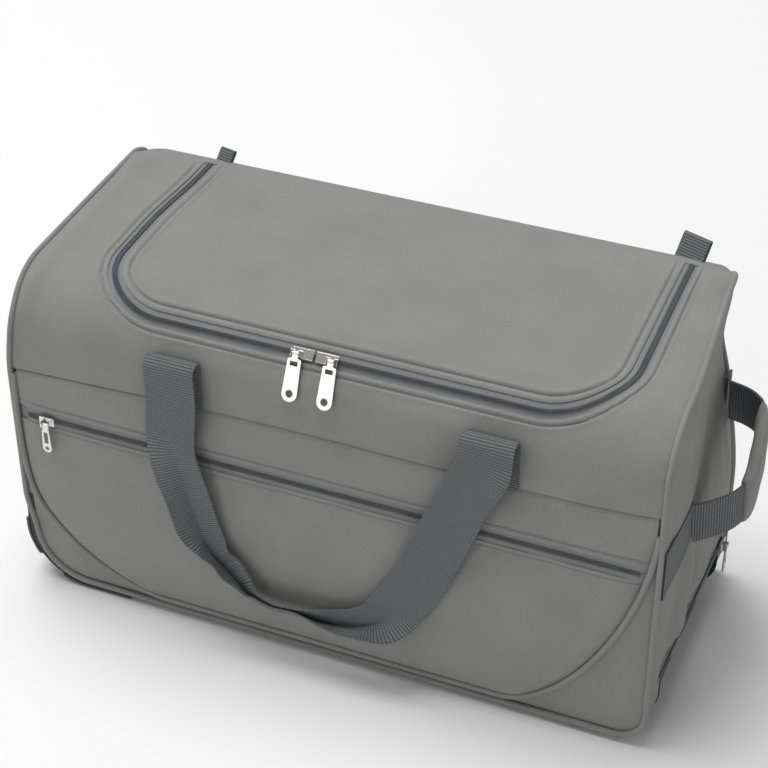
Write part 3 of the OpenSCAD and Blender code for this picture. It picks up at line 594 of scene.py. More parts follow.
def stitches(name, body, path, normal, pitch=3.6, thick=0.55, material=None):
    """Row of stitches on a path."""
    path = resample(np.concatenate([path, normal], 1), pitch)
    middle, along = frames_along(path[:, :3])
    points, faces = capsule(pitch * 0.72, thick, thick)
    piece = scatter(name, middle, along, unit(path[:-1, 3:]), points, faces, material or THREAD)
    return place(piece, body, "bag_fabric")


def build_lid_zip():
    zip_tape("top_zip_tape_cloth", "shell", 1, "top_zip_tape")
    zip_tape("lid_zip_tape_cloth", "lid", -1, "lid_zip_tape")
    line, _ = lid_line(0, 1.0)
    line = resample(line, TOOTH_PITCH / 2)
    path = on_top(line[:, 0], line[:, 1], 0.05)
    normal = top_normal(line[:, 1])
    teeth("top_zip_teeth", "shell", path, normal, -1, ("top_zip_coil",))
    teeth("lid_zip_teeth", "lid", path, normal, 1, ("lid_zip_coil",))
    for u, body in ((2.0, "shell"), (-2.0, "lid")):
        row, _ = lid_line(u, 1.0)
        stitches(f"{body}_zip_thread", body, on_top(row[:, 0], row[:, 1], 0.55), top_normal(row[:, 1]),
                 1.9, 0.6)
    for u, h, body in ((10.6, 0.2, "shell"), (-11.6, 0.35, "lid")):
        row, _ = lid_line(u, 1.0)
        stitches(f"{body}_zip_seam", body, on_top(row[:, 0], row[:, 1], h), top_normal(row[:, 1]), 3.4, 0.5)


# ---------------------------------------------------------------- front and pocket


def corner_height(x):
    """Height of the bag's lower outline above the base, at x."""
    left = np.clip(LEFT + WHEEL_CORNER - x, 0, WHEEL_CORNER)
    right = np.clip(x - (RIGHT - FOOT_CORNER), 0, FOOT_CORNER)
    return (
        WHEEL_CORNER - np.sqrt(WHEEL_CORNER**2 - left**2)
        + FOOT_CORNER - np.sqrt(FOOT_CORNER**2 - right**2)
    )


def end_spaced(n, low_end, high_end):
    """Places between two ends, closer together near both."""
    return (low_end + high_end) / 2 + (high_end - low_end) / 2 * np.sin(np.linspace(-1, 1, n) * math.pi / 2)


def face_grid(top_z, n_x=150, n_z=60):
    """Grid over the front or back face, from its rounded lower outline up to top_z."""
    x = end_spaced(n_x, LEFT + 1, RIGHT - 1)
    floor = BASE + corner_height(x) + 0.6
    t = np.linspace(0, 1, n_z)[:, None]
    z = floor[None] + (top_z - floor[None]) * t
    return np.broadcast_to(x[None], z.shape), z, floor[None]


def edge_distance(x, z, floor):
    return np.minimum(np.minimum(x - LEFT, RIGHT - x), z - floor)


def build_front_panel():
    x, z, floor = face_grid(SEAM)
    d = edge_distance(x, z, floor)
    out = 1.6 * smooth(d / 30) - 2.2 * np.exp(-d / 2.5)
    out += 0.9 * ripples(x, z, 21, 80) * smooth(d / 20)
    out = np.minimum(out, 1.2) - 2.6 * smooth((z - SEAM + 60) / 30)
    points = settle(np.stack([x, FRONT - out, z], -1))
    piece = sheet("front_panel_cloth", points, np.stack([x, z], -1), flip=True)
    return place(piece, "shell", "bag_fabric", "front_panel")


POCKET_GAP = 8.0  # from the middle of the pocket's zip to the cloth's edges


def pocket_half(z, x):
    """Half of the pocket's width at height z, on x's side: the left end is the fuller one."""
    t = np.clip((z - BASE - U_LOW) / (U_TOP - U_LOW), 0, 1)
    left, right = (1 - (1 - t) ** 5) ** 0.75, (1 - (1 - t) ** 1.6) ** 0.58
    return U_FLAT + (RIGHT - MID - 6 - U_FLAT) * np.where(x < MID, left, right)


def pocket_out(x, z):
    """How far the pocket's cloth stands out from the front plane."""
    d = np.minimum(pocket_half(z, x) - np.abs(x - MID), 1.2 * (z - BASE - U_LOW))
    d = np.maximum(d, 0)
    full = FRONT - POCKET
    rise = 0.8 + (full - 0.8) * (1 - np.exp(-d / 7))
    belly = smooth((POCKET_ZIP - 9 - z) / 60) * smooth(d / 70)
    rise += 4.6 * belly
    rise += 1.0 * ripples(x, 1.6 * z, 31, 120) * smooth(d / 50) * smooth((POCKET_ZIP - 12 - z) / 30)
    sag = smooth((POCKET_ZIP - z) / 12) * (1 - smooth((POCKET_ZIP - 14 - z) / 30))
    rise += 1.1 * sag * ripples(x, z, 37, 60) * smooth(d / 40)
    return rise


def pocket_grid(low_z, high_z, n_z, n_x=170):
    t = np.linspace(0, 1, n_z)
    z = low_z + (high_z - low_z) * (t**1.8 if low_z < 100 else t)
    xi = np.sin(np.linspace(-1, 1, n_x) * 1.45) / math.sin(1.45)
    x = MID + pocket_half(z[:, None], MID + xi[None]) * xi[None]
    return x, np.broadcast_to(z[:, None], x.shape)


def build_pocket():
    x, z = pocket_grid(BASE + U_LOW + 1, POCKET_ZIP - POCKET_GAP, 60)
    edge = POCKET_ZIP - POCKET_GAP - z
    out = pocket_out(x, z) + 0.7 * hump(edge, 1.6, 1.4) - 0.7 * hump(edge, 4.6, 0.8)
    points = settle(np.stack([x, FRONT - out, z], -1))
    pocket = sheet("pocket_cloth", points, np.stack([x, z], -1), flip=True, thick=2.0)
    place(pocket, "shell", "bag_fabric", "pocket_panel")

    x, z = pocket_grid(POCKET_ZIP + POCKET_GAP, SEAM, 30)
    z = z + seam_wave(x) * (z - POCKET_ZIP - POCKET_GAP) / (SEAM - POCKET_ZIP - POCKET_GAP)
    edge = z - POCKET_ZIP - POCKET_GAP
    fade = smooth((z - POCKET_ZIP - 8) / (SEAM - POCKET_ZIP - 8))
    out = (
        pocket_out(x, z) * (1 - fade) + 1.0 * fade
        + 1.6 * np.sin(math.pi * fade) * smooth((280 - abs(x - MID)) / 60)
    )
    out += 0.7 * hump(edge, 1.6, 1.4) - 0.7 * hump(edge, 4.6, 0.8) - 1.8 * hump(z, SEAM + seam_wave(x), 2.0)
    out += 0.6 * ripples(x, z, 41, 90) * np.sin(math.pi * fade)
    out -= 1.3 * stub_dent(x, SEAM - z)
    points = settle(np.stack([x, FRONT - out, z], -1))
    yoke = sheet("yoke_cloth", points, np.stack([x, z], -1), flip=True, thick=1.6)
    place(yoke, "shell", "bag_fabric", "front_yoke")


def build_pocket_zip():
    face = POCKET + 0.8
    for side, name in ((1, "upper"), (-1, "lower")):
        z = POCKET_ZIP + side * np.array([0.3, 2.0, 3.2, 4.4, 7.0, POCKET_GAP + 2.5])
        xi = np.linspace(-1, 1, 220)
        x = MID + (pocket_half(z[:, None], MID + xi[None]) + 1) * xi[None]
        zz = np.broadcast_to(z[:, None], x.shape)
        near = smooth((np.abs(x - MID) - pocket_half(zz, x) + 6) / 6)
        points = np.stack([x, face + 3.5 * near + 0.25 * hump(abs(zz - POCKET_ZIP), 4.2, 0.8), zz], -1)
        piece = sheet(f"pocket_tape_{name}", points, np.stack([x, zz], -1), TAPE, TAPE, 1.0, flip=side > 0)
        place(piece, "shell", "zip_tape", *(("pocket_zip_tape",) if side > 0 else ()))
        left, right = (float(pocket_half(POCKET_ZIP, end)) - 4 for end in (LEFT, RIGHT))
        x = np.arange(MID - left, MID + right, TOOTH_PITCH / 2)
        path = np.stack([x, np.full_like(x, face - 0.7), np.full_like(x, POCKET_ZIP)], 1)
        out = np.tile([0.0, -1, 0], (len(x), 1))
        nodes = ("pocket_zip_coil",) if side > 0 else ()
        teeth(f"pocket_teeth_{name}", "shell", path, out, side, nodes)
        row = path + [0, -0.35, 2.0 * side]
        stitches(f"pocket_thread_{name}", "shell", row, out, 1.9, 0.6)
        seam_z = np.full_like(x, POCKET_ZIP + side * (POCKET_GAP + 4.7))
        seam = np.stack([x, FRONT - pocket_out(x, seam_z) - 0.1, seam_z], 1)
        stitches(f"pocket_seam_{name}", "shell", seam, out, 3.4, 0.5)


# ---------------------------------------------------------------- back, ends and bottom


def build_back_panel():
    x, z, floor = face_grid(TOP - BACK_R, n_z=70)
    d = edge_distance(x, z, floor)
    out = 5.0 * smooth(d / 110) * (1 - smooth((z - 200) / 50)) - 1.4 * np.exp(-d / 4)
    out += 1.2 * ripples(x, z, 51, 110) * smooth(d / 40) * (1 - smooth((z - 210) / 40))
    flat = np.stack([x, BACK + out, z], -1)
    s = np.linspace(S_CORNER, S_HINGE, 12)[1:, None]
    over = np.stack(np.broadcast_arrays(x[:1], np.interp(s, S, Y), np.interp(s, S, Z)), -1)
    h = 1.5 * np.exp(-(np.minimum(x[:1] - LEFT, RIGHT - x[:1])) / 4)
    a = np.interp(s, S, ANGLE)
    over = over - np.stack(np.broadcast_arrays(0 * h, h * np.cos(a), h * np.sin(a)), -1)
    points = settle(np.concatenate([flat, over]))
    length = np.concatenate([z[:, :1], z[-1, 0] + S_CORNER - s])
    uv = np.stack([np.broadcast_to(x[:1], points.shape[:2]), np.broadcast_to(length, points.shape[:2])], -1)
    piece = sheet("back_panel_cloth", points, uv)
    return place(piece, "shell", "bag_fabric", "back_panel")


def end_grid(floor):
    """Grid over an end, in columns along Y and rows up to the bag's top line."""
    marks = [-HOUSING_IN, HOUSING_IN, -CUP_HIGH[1], CUP_HIGH[1]]
    y = np.unique(np.round(np.concatenate([end_spaced(70, FRONT + 0.8, BACK - 0.8), marks]), 2))
    y = y[np.concatenate([[True], np.diff(y) > 0.4]) | np.isin(y, marks)]
    top = np.interp(y, Y[1:-1], Z[1:-1]) - 0.8
    low_rows = np.unique(np.concatenate([np.arange(floor, HOUSING[2], 4.5), [CUP_HIGH[2], HOUSING[2]]]))
    low_rows = low_rows[low_rows >= floor]
    rows = [np.full_like(y, z) for z in low_rows]
    rows += [HOUSING[2] + (top - HOUSING[2]) * t for t in np.linspace(0, 1, 52)[1:]]
    z = np.array(rows)
    return np.broadcast_to(y[None], z.shape), z, top[None]


def end_fields(y, z, top, floor):
    side = np.minimum(y - FRONT, BACK - y)
    d = np.maximum(np.minimum(side, top - z), 0)
    d = np.minimum(d, np.maximum(z - floor, 0) + 12)
    return d


def build_right_end():
    floor = BASE + FOOT_CORNER
    y, z, top = end_grid(floor)
    d = end_fields(y, z, top, floor)
    out = 2.6 * smooth(d / 60) - 3.0 * np.exp(-((d / 5) ** 2))
    fan = (y + 60) / (1 + 0.004 * np.abs(z - 170))
    folds = np.sin(fan / 8.5 + 1.6 * ripples(y, z, 61, 110)) * np.exp(-(((z - 110) / 62) ** 2))
    out += 4.5 * folds * smooth(d / 22) * np.exp(-(((y + 40) / 62) ** 2))
    out += 1.6 * ripples(2.2 * y, 0.7 * z, 63, 70) * smooth(d / 30)
    strip = np.exp(-(((z - 187) / 30) ** 2)) * (1 - smooth((y + 37) / 30))
    out = out * (1 - 0.85 * strip)
    zip_line = np.exp(-(((z - 62) / 10) ** 2)) * (1 - smooth((np.abs(y) - 100) / 12))
    out = out * (1 - zip_line)
    points = settle(np.stack([RIGHT + out, y, z], -1))
    middle_y = (y[0, :-1] + y[0, 1:]) / 2
    middle_z = (z[:-1] + z[1:])[:, :-1] / 2
    keep = ~((np.abs(middle_y)[None] < CUP_HIGH[1]) & (middle_z < CUP_HIGH[2]))
    piece = sheet("right_end_cloth", points, np.stack([y, z], -1), flip=True, keep=keep)
    return place(piece, "shell", "bag_fabric", "right_end_panel")


def build_left_end():
    floor = BASE + WHEEL_CORNER
    y, z, top = end_grid(floor)
    d = end_fields(y, z, top, floor)
    out = 3.6 * smooth(d / 60) - 1.5 * np.exp(-d / 4)
    out += 2.0 * ripples(2.0 * y, 0.8 * z, 71, 80) * smooth(d / 30)
    points = settle(np.stack([LEFT - out, y, z], -1))
    middle_y = (y[0, :-1] + y[0, 1:]) / 2
    middle_z = (z[:-1] + z[1:])[:, :-1] / 2
    keep = ~((np.abs(middle_y)[None] > HOUSING_IN) & (middle_z < HOUSING[2]))
    piece = sheet("left_end_cloth", points, np.stack([y, z], -1), keep=keep)
    return place(piece, "shell", "bag_fabric", "left_end_panel")


def side_outline(step=4.0):
    """Lower outline of the bag from the left end, round both corners, as (x, z) points."""
    a = np.linspace(math.pi, 1.5 * math.pi, 24)
    b = np.linspace(1.5 * math.pi, 2 * math.pi, 16)
    left = np.stack([LEFT + WHEEL_CORNER * (1 + np.cos(a)), BASE + WHEEL_CORNER * (1 + np.sin(a))], 1)
    right = np.stack([RIGHT - FOOT_CORNER * (1 - np.cos(b)), BASE + FOOT_CORNER * (1 + np.sin(b))], 1)
    marks = [HOUSING[0], CUP_LOW[0]]
    x = np.unique(np.concatenate([np.arange(LEFT + WHEEL_CORNER, RIGHT - FOOT_CORNER, step * 2)[1:], marks]))
    flat = np.stack([x, np.full_like(x, BASE)], 1)
    return np.concatenate([left, flat, right])


def build_bottom():
    line = side_outline()
    marks = [-HOUSING_IN, HOUSING_IN, -CUP_HIGH[1], CUP_HIGH[1]]
    y = np.unique(np.concatenate([np.linspace(FRONT + 1.5, BACK - 1.5, 45), marks]))
    x = np.broadcast_to(line[:, None, 0], (len(line), len(y)))
    z = np.broadcast_to(line[:, None, 1], x.shape)
    yy = np.broadcast_to(y[None], x.shape)
    middle_x = (line[:-1, 0] + line[1:, 0])[:, None] / 2
    middle_y = np.abs(y[:-1] + y[1:])[None] / 2
    keep = ~((middle_x < HOUSING[0]) & (middle_y > HOUSING_IN))
    keep &= ~((middle_x > CUP_LOW[0]) & (middle_y < CUP_HIGH[1]))
    points = np.stack([x, yy, z], -1)
    points[..., 2] -= 0.8 * np.sin(math.pi * (yy - FRONT) / (BACK - FRONT)) * (z < BASE + 0.01)
    run = np.concatenate([[0], np.cumsum(np.hypot(*np.diff(line, axis=0).T))])
    uv = np.stack([np.broadcast_to(run[:, None], x.shape), yy], -1)
    piece = sheet("bottom_cloth", points, uv, flip=True, keep=keep)
    return place(piece, "shell", "bag_fabric", "bottom_panel")


# ---------------------------------------------------------------- piping and seams


def perimeter():
    """Closed line of the edge piping: round the front, over one end, round the back and over the other."""
    outline = side_outline(6.0)
    out = PIPING_R * 0.35
    face = np.stack([outline[:, 0], np.full(len(outline), FRONT - out), outline[:, 1]], 1)
    left = np.array([[LEFT, FRONT - out, z] for z in np.arange(SEAM + 26, BASE + WHEEL_CORNER + 3, -6.0)])
    right = np.array([[RIGHT, FRONT - out, z] for z in np.arange(BASE + FOOT_CORNER + 6, SEAM + 27, 6.0)])
    front = np.concatenate([left, face, right])
    s = np.linspace(S_SHOULDER + 4, S_CORNER - 1, 60)
    a = np.interp(s, S, ANGLE)
    over = np.stack([np.full_like(s, RIGHT), np.interp(s, S, Y) + out * np.cos(a), np.interp(s, S, Z)
                     + out * np.sin(a)], 1)
    back_top = np.array([[RIGHT, BACK + out, z] for z in np.arange(TOP - BACK_R - 3, SEAM + 27, -6.0)])
    back = front[::-1] * [1, -1, 1]
    other = np.concatenate([over, back_top])[::-1] * [-1, 1, 1] + [2 * MID, 0, 0]
    line = np.concatenate([front, over, back_top, back, other])
    pull_in = np.array([PIPING_R * 0.45, 0, 0]) * np.sign(line[:, :1]
                                                          - MID) * (np.abs(line[:, :1] - MID) > 250)
    line = resample(np.concatenate([line - pull_in, (line - pull_in)[:1]]), 5.0)[:-1]
    return settle(line)


def build_piping():
    line = perimeter()
    inward = unit(line - [MID, 0, 170])
    piece = tube("edge_piping_cord", line, PIPING_R, FABRIC, inward, closed=True)
    place(piece, "shell", "bag_fabric", "edge_piping")
    z = BASE + U_LOW + (U_TOP - U_LOW) * np.linspace(1, 0, 90) ** 2.2
    left = np.stack([MID - pocket_half(z, LEFT) - 2, z], 1)
    right = np.stack([MID + pocket_half(z, RIGHT) + 2, z], 1)[::-1]
    line = resample(np.concatenate([left, right]), 4.0)
    path = settle(np.stack([line[:, 0], np.full(len(line), FRONT - 1.2), line[:, 1]], 1))
    path[:, 1] -= 1.6 * smooth(np.arange(len(path)) / 12) * smooth(np.arange(len(path))[::-1] / 12)
    piece = tube("pocket_piping_cord", path, PIPING_R, FABRIC, np.tile([0.0, 1, 0], (len(path), 1)))
    place(piece, "shell", "bag_fabric", "pocket_piping")


# ---------------------------------------------------------------- webbing


def webbing(name, path, wide, fold=None, width=WEBBING_W, thick=WEBBING_T, material=None):
    """Webbing along a path. wide is its direction across, and fold the angle of its lengthwise crease."""
    path, wide = np.asarray(path, float), np.asarray(wide, float)
    t = tangents(path)
    wide = unit(wide - t * np.sum(wide * t, 1, keepdims=True))
    out = np.cross(t, wide)
    fold = np.zeros(len(path)) if fold is None else np.asarray(fold)
    across = np.linspace(-1, 1, 17) * (width / 2)
    half = thick / 2
    lip = [(width / 2 + 0.3, 0.0)]
    upper = [(a, half * (1 - 0.25 * hump(abs(a), width / 2 - 4, 0.7))) for a in across]
    ring_points = [(a, h) for a, h in upper] + lip + [(a, -h) for a,
                                                      h in upper[::-1]] + [(-width / 2 - 0.3, 0.0)]
    base = np.array(ring_points)
    rings = np.empty((len(path), len(base), 2))
    for i, f in enumerate(fold):
        c, s = math.cos(f), math.sin(f)
        side = np.tanh(base[:, 0] / 3.0)
        rings[i, :, 0] = base[:, 0] * c - side * base[:, 1] * s
        rings[i, :, 1] = np.abs(base[:, 0]) * s + base[:, 1] * c
    piece = sweep(name, path, rings, wide, out, material or WEBBING, sharp=60)
    return piece


# From STRAP_NEAR outwards a strap's wings are pressed back, ever more over STRAP_GIVE
STRAP_NEAR, STRAP_GIVE = 142, 36
# Where a folded strap's two wings point, besides away from the bag
WING_LEAN = np.array([0.36, -0.66, 0.66])


def strap_path(points, side):
    """Path, directions across and creases of a carry strap that hangs from a stub and a fold at each end."""
    fold_y, fold_r = 135.65, 7.35
    fold_z = high("strap_roots")[2] + 0.2
    stub = np.linspace(SEAM + 1, fold_z - 0.4, 9)
    turn = np.linspace(0, math.pi, 13)
    ends = []
    for x in STUBS_X:
        up = np.stack([np.full(9, x), np.full(9, fold_y - fold_r), stub], 1)
        over = np.stack([np.full(13, x), fold_y - fold_r * np.cos(turn), fold_z + fold_r * np.sin(turn)], 1)
        ends.append(np.concatenate([up, over[1:]]))
    hang = curve_through([(x, y, z, math.degrees(math.acos(min(w / WEBBING_W, 1)))) for x, y, z,
                          w in points], 220)
    path = np.concatenate([ends[0], hang[1:-1, :3], ends[1][::-1]]) * [1, side, 1]
    n = len(ends[0])
    t = tangents(path)
    fold = np.zeros(len(path))
    fold[n:-n] = np.radians(np.clip(hang[1:-1, 3], 0, 86))
    out = np.tile([0.0, side, 0], (len(path), 1))
    if side < 0:
        out = out + (WING_LEAN - out) * smooth(fold / 0.8)[:, None]
    wide = unit(np.cross(out, t))
    wide[:n] = [-side, 0, 0]
    wide[-n:] = [side, 0, 0]
    return path, wide, fold


def build_strap(name, side, points, folds):
    path, wide, fold = strap_path(points, side)
    keep = resample(np.concatenate([path, wide, fold[:, None]], 1), 2.5)
    piece = webbing(f"{name}_webbing", keep[:, :3], keep[:, 3:6], keep[:, 6])
    co = np.zeros(3 * len(piece.data.vertices))
    piece.data.vertices.foreach_get("co", co)
    y = co[1::3] / MM * side
    over = np.maximum(y - STRAP_NEAR, 0)
    y = np.where(over > 0, STRAP_NEAR + STRAP_GIVE * (1 - np.exp(-over / STRAP_GIVE)), y)
    co[1::3] = y * side * MM
    piece.data.vertices.foreach_set("co", co)
    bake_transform(piece)
    place(piece, None, "webbing", *folds)
    return piece


def build_straps():
    """Both carry straps, through stations of x, y, z and the width left by the crease."""
    y = 143.2
    top = high("strap_roots")[2] - 0.5
    left, right = STUBS_X
    hanging = [
        (left, y, top, 47), (left + 0.5, y, 262, 47), (-154, y, 216, 47), (-148, y, 189, 45), (-141, y,
                                                                                               163, 42),
        (-132, y, 128, 41), (-125, y, 108, 30), (-117, y, 96, 22), (-107, y, 86, 26), (-96, y, 75, 18),
        (-84, y, 62, 7), (-63, y, 55, 5), (-37, y, 56, 5), (-14, y, 56, 14), (7, y, 59, 24), (27, y, 66, 30),
        (45, y, 79, 42), (59, y, 98, 47), (70, y, 116, 47), (80, y, 137, 47), (93, y, 169, 47), (107, y,
                                                                                                 206, 47),
        (118, y, 236, 47), (right - 3, y, 268, 47), (right, y, top, 47),
    ]
    build_strap("front_strap", -1, hanging,
                ("front_strap", "strap_roots", "front_strap_folds"))
    plain = [(left, y, top, 47), (left + 5, y, 246, 47), (left + 16, y, 196, 47), (left + 30, y, 146, 47)]
    middle = (left + right) / 2
    plain += [(middle - 88, y, 96, 47), (middle - 54, y, 68, 44), (middle, y, 58, 34)]
    plain += [(2 * middle - x, yy, z, w) for x, yy, z, w in plain[-2::-1]]
    build_strap("rear_strap", 1, plain, ("rear_strap", "rear_strap_folds"))


# The grab handle: its front root on the end panel, and how much it rises to the back
GRAB_ROOT = np.array([RIGHT, -37.0, 183.0])
GRAB_TILT = math.radians(11)
GRAB_ALONG = np.array([0, math.cos(GRAB_TILT), math.sin(GRAB_TILT)])
GRAB_UP = np.array([0, -math.sin(GRAB_TILT), math.cos(GRAB_TILT)])


def grab_point(out, along):
    """Point on the grab handle, out from the panel and along it from its front root."""
    return GRAB_ROOT + np.multiply.outer(out, [1.0, 0, 0]) + np.multiply.outer(along, GRAB_ALONG)


def end_strip(name, y, z, nodes):
    """Webbing sewn flat to the right end, with a row of stitches near each edge."""
    path = settle(np.stack([np.full_like(y, RIGHT + 1.3), y, z], 1))
    up = np.tile([0.0, 0, 1], (len(y), 1))
    place(webbing(f"end_webbing_{name}", path, up), "shell", "webbing", *nodes)
    for offset in (-18, 18):
        row = path + [1.2, 0, offset]
        line = f"end_stitch_{name}_{'low' if offset < 0 else 'high'}"
        piece = stitches(line, "shell", row, np.tile([1.0, 0, 0], (len(y), 1)), 3.4, 0.6)


def build_grab_handle():
    bends = curve_through([(1, 0), (13, 9), (27, 22), (35, 36), (37, 50), (34, 90), (27, 130),
                           (21, 140), (9, 147), (-9, 151)], 120)
    arch = resample(grab_point(bends[:, 0], bends[:, 1]), 3.0)
    place(webbing("grab_webbing", arch, np.tile(GRAB_UP, (len(arch), 1))), "shell", "webbing", "grab_loop")
    y = np.linspace(FRONT + 4, GRAB_ROOT[1], 24)
    end_strip("front", y, GRAB_ROOT[2] + 7 * smooth((GRAB_ROOT[1] - y) / 80), ("end_webbing",))
    end = grab_point(0.0, 150.0)
    y = np.linspace(end[1], BACK - 3, 10)
    end_strip("back", y, np.full_like(y, end[2]), ())
    build_sleeve(bends)


def build_sleeve(bends):
    """Padded sleeve of bag cloth wrapped round the grab handle's webbing."""
    inside = bends[(bends[:, 1] > 37) & (bends[:, 1] < 133)]
    bends = resample(inside, 1.7)
    path = grab_point(bends[:, 0], bends[:, 1])
    n = len(path)
    t = tangents(path)
    up = np.tile(GRAB_UP, (n, 1))
    out = np.cross(t, up)
    ends = np.minimum(np.arange(n), np.arange(n)[::-1]) / 5
    puff = 0.45 + 0.55 * np.sqrt(np.clip(ends, 0, 1))[:, None]
    a = np.linspace(0, 2 * math.pi, 40, endpoint=False)
    across = np.sign(np.cos(a)) * np.abs(np.cos(a)) ** 0.45
    deep = np.sign(np.sin(a)) * np.abs(np.sin(a)) ** 0.8
    wobble = 1 + 0.07 * ripples(np.arange(n)[:, None] * 1.7, a[None] * 20, 83, 26)
    rings = np.stack([across[None] * 26.5 * (0.97 + 0.03 * puff), deep[None] * 6.2 * puff * wobble], -1)
    rings[..., 1] *= 1 - 0.22 * hump(np.abs(rings[..., 0]), 20.5, 1.5)
    piece = sweep("grab_sleeve_cloth", path, rings, up, out, FABRIC, sharp=55)
    place(piece, "shell", "bag_fabric", "grab_sleeve")


def build_tabs():
    """Folded webbing tabs at the back ends of the lid's zip, leaning outwards."""
    tabs = (
        ("left", LID_X - 230, 123, 16, (0.97, -0.24, 0), (-0.1, 0.6, 0.7), 9),
        ("right", LID_X + 234, 124, 28, (0.94, -0.34, 0), (0.62, 0.26, 0.74), 18),
    )
    for name, x, y, width, side, rise, height in tabs:
        side = unit(np.array(side))
        rise = unit(rise - side * np.dot(rise, side))
        fore = np.cross(side, rise)
        gap = 1.6
        loop = [(-gap, up) for up in np.linspace(-4, height, 10)[:-1]]
        loop += [(-gap * math.cos(b), height + gap * math.sin(b)) for b in np.linspace(0, math.pi, 9)]
        loop += [(gap, up) for up in np.linspace(height, -4, 10)[1:]]
        base = settle([x, y, np.interp(y, Y[1:-1], Z[1:-1]) + 1])
        path = np.array([base + fore * across + rise * up for across, up in loop])
        piece = webbing(f"zip_tab_{name}", path, np.tile(side, (len(path), 1)), width=width, thick=1.6)
        place(piece, "shell", "webbing", *(("zip_end_tabs",) if name == "left" else ()))


def build_foot_zip():
    z0 = (low("foot_zip_coil")[2] + high("foot_zip_coil")[2]) / 2
    y = np.linspace(low("foot_zip_tape")[1], high("foot_zip_tape")[1], 90)
    face = RIGHT + 0.9
    for side, name in ((1, "upper"), (-1, "lower")):
        z = z0 + side * np.array([0.3, 2.0, 3.4, 4.6, 8.0])
        yy, zz = np.meshgrid(y, z)
        points = np.stack([np.full_like(yy, face), yy, zz], -1)
        piece = sheet(f"foot_tape_{name}", points, np.stack([yy, zz], -1), TAPE, TAPE, 0.9, flip=side > 0)
        place(piece, "shell", "zip_tape", *(("foot_zip_tape",) if side > 0 else ()))
        yc = np.arange(y[0] + 2, y[-1] - 2, TOOTH_PITCH / 2)
        path = np.stack([np.full_like(yc, face + 0.8), yc, np.full_like(yc, z0)], 1)
        out = np.tile([1.0, 0, 0], (len(yc), 1))
        teeth(f"foot_teeth_{name}", "shell", path, out, side, ("foot_zip_coil",) if side > 0 else ())
        row = np.stack([np.full_like(y, face + 0.3), y, np.full_like(y, z0 + side * 6.6)], 1)
        stitches(f"foot_seam_{name}", "shell", row, np.tile([1.0, 0, 0], (len(y), 1)), 3.4, 0.5)


# ---------------------------------------------------------------- hard parts


def dress(name, material, bevel=0.0, segments=2):
    """Gives a CAD node its finish, and soft edges where it has hard ones."""
    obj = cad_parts[name]
    obj.data.materials.clear()
    obj.data.materials.append(material)
    if bevel:
        weld = obj.modifiers.new("weld", "WELD")
        weld.merge_threshold = 2e-5
        edge = obj.modifiers.new("edge", "BEVEL")
        edge.width = bevel * MM
        edge.segments = segments
        edge.limit_method = "ANGLE"
        edge.angle_limit = math.radians(35)
        edge.use_clamp_overlap = True


def dress_hard_parts():
    for name, bevel in (("front_wheel_housing", 1.2), ("rear_wheel_housing", 1.2), ("handle_cup", 0.8),
                        ("handle_grip", 2.4), ("feet", 0.6)):
        dress(name, BLACK, bevel, 3)
    for name, bevel in (("corner_guards", 0.6), ("front_hub", 0.4), ("rear_hub", 0.4), ("tube_saddles", 0.8)):
        dress(name, GREY, bevel)
    for name in ("front_tyre", "rear_tyre"):
        dress(name, RUBBER)
    for name in ("axles", "screws", "outer_tubes", "middle_tubes", "inner_tubes", "button_spring",
                 "push_rods"):
        dress(name, STEEL)
    for name in ("left", "right", "pocket", "foot"):
        dress(f"{name}_slider", NICKEL, 0.5, 3)
        dress(f"{name}_pull", NICKEL, 0.35, 3)
    for name in ("base_board", "floor_cover"):
        dress(name, BOARD, 0.6)
    for name in ("front_bushes", "rear_bushes"):
        dress(name, BUSH)
    dress("grip_button", RED, 0.8, 3)


# ---------------------------------------------------------------- studio


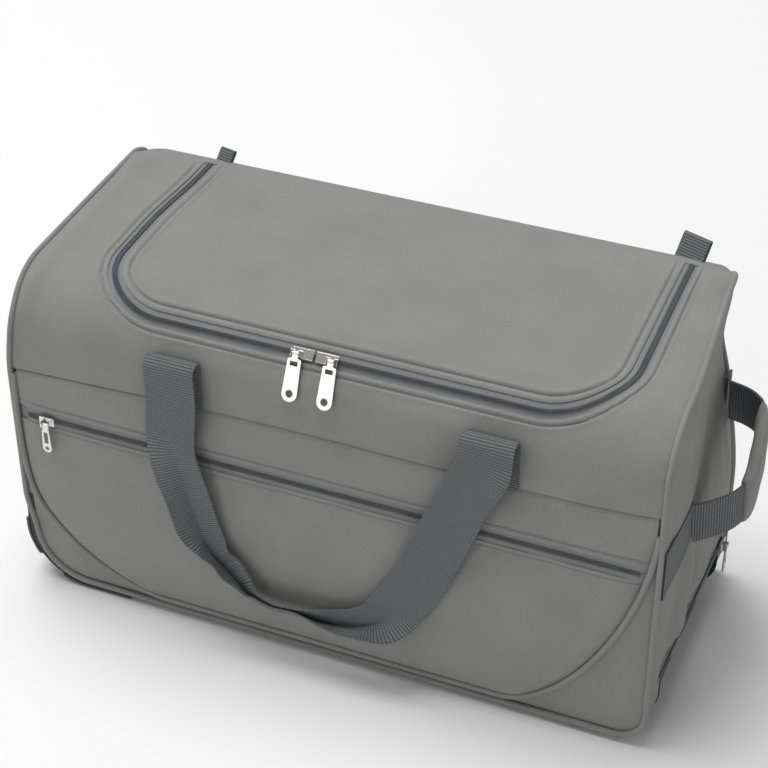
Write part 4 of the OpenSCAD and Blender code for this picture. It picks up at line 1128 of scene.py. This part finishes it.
def build_studio():
    scene = bpy.context.scene
    size = 12.0
    floor = bpy.data.meshes.new("studio_floor")
    floor.from_pydata([(-size, -size, 0), (size, -size, 0), (size, size, 0), (-size, size, 0)], [],
                      [(0, 1, 2, 3)])
    floor_obj = bpy.data.objects.new("studio_floor", floor)
    scene.collection.objects.link(floor_obj)
    m, _, _, shader = new_material("studio_floor")
    shader.inputs["Base Color"].default_value = (0.93, 0.93, 0.93, 1)
    shader.inputs["Roughness"].default_value = 0.9
    floor.materials.append(m)

    world = bpy.data.worlds.new("studio")
    scene.world = world
    world.use_nodes = True
    background = world.node_tree.nodes["Background"]
    background.inputs["Color"].default_value = (1, 1, 1, 1)
    background.inputs["Strength"].default_value = 0.31

    def lamp(name, place_at, aim, side, power):
        light = bpy.data.lights.new(name, "AREA")
        light.shape = "DISK"
        light.size = side
        light.energy = power
        obj = bpy.data.objects.new(name, light)
        scene.collection.objects.link(obj)
        at, aim = np.array(place_at), np.array(aim)
        back = unit(at - aim)
        right = unit(np.cross([0, 0, 1], back))
        up = np.cross(back, right)
        obj.matrix_world = Matrix([[*row, 0] for row in np.stack([right, up, back], 1)] + [[0, 0, 0, 1]])
        obj.location = place_at

    lamp("overhead", (-1.6, 0.4, 5.8), (0, 0, 0.15), 5.0, 305)
    lamp("card", (-0.95, -2.6, 1.3), (0, 0, 0.25), 1.3, 7)


def build_camera():
    yaw, pitch, roll = (math.radians(a) for a in (22.968, 35.357, -0.208))
    forward = np.array([-math.sin(yaw) * math.cos(pitch), math.cos(yaw) * math.cos(pitch), -math.sin(pitch)])
    right = unit(np.cross(forward, [0, 0, 1]))
    up = np.cross(right, forward)
    right, up = right * math.cos(roll) + up * math.sin(roll), up * math.cos(roll) - right * math.sin(roll)
    data = bpy.data.cameras.new("camera")
    data.lens = 95.455
    data.sensor_width = 36
    data.clip_end = 100
    camera = bpy.data.objects.new("camera", data)
    bpy.context.scene.collection.objects.link(camera)
    camera.matrix_world = Matrix([[*row, 0] for row in np.stack([right, up, -forward], 1)] + [[0, 0, 0, 1]])
    camera.location = (0.568534, -1.372644, 1.280318)
    bpy.context.scene.camera = camera


bpy.context.scene.view_settings.view_transform = "Standard"
build_camera()
build_studio()
build_top_panel()
build_lid()
build_lid_zip()
build_front_panel()
build_pocket()
build_pocket_zip()
build_back_panel()
build_right_end()
build_left_end()
build_bottom()
build_piping()
build_straps()
build_grab_handle()
build_tabs()
build_foot_zip()
dress_hard_parts()
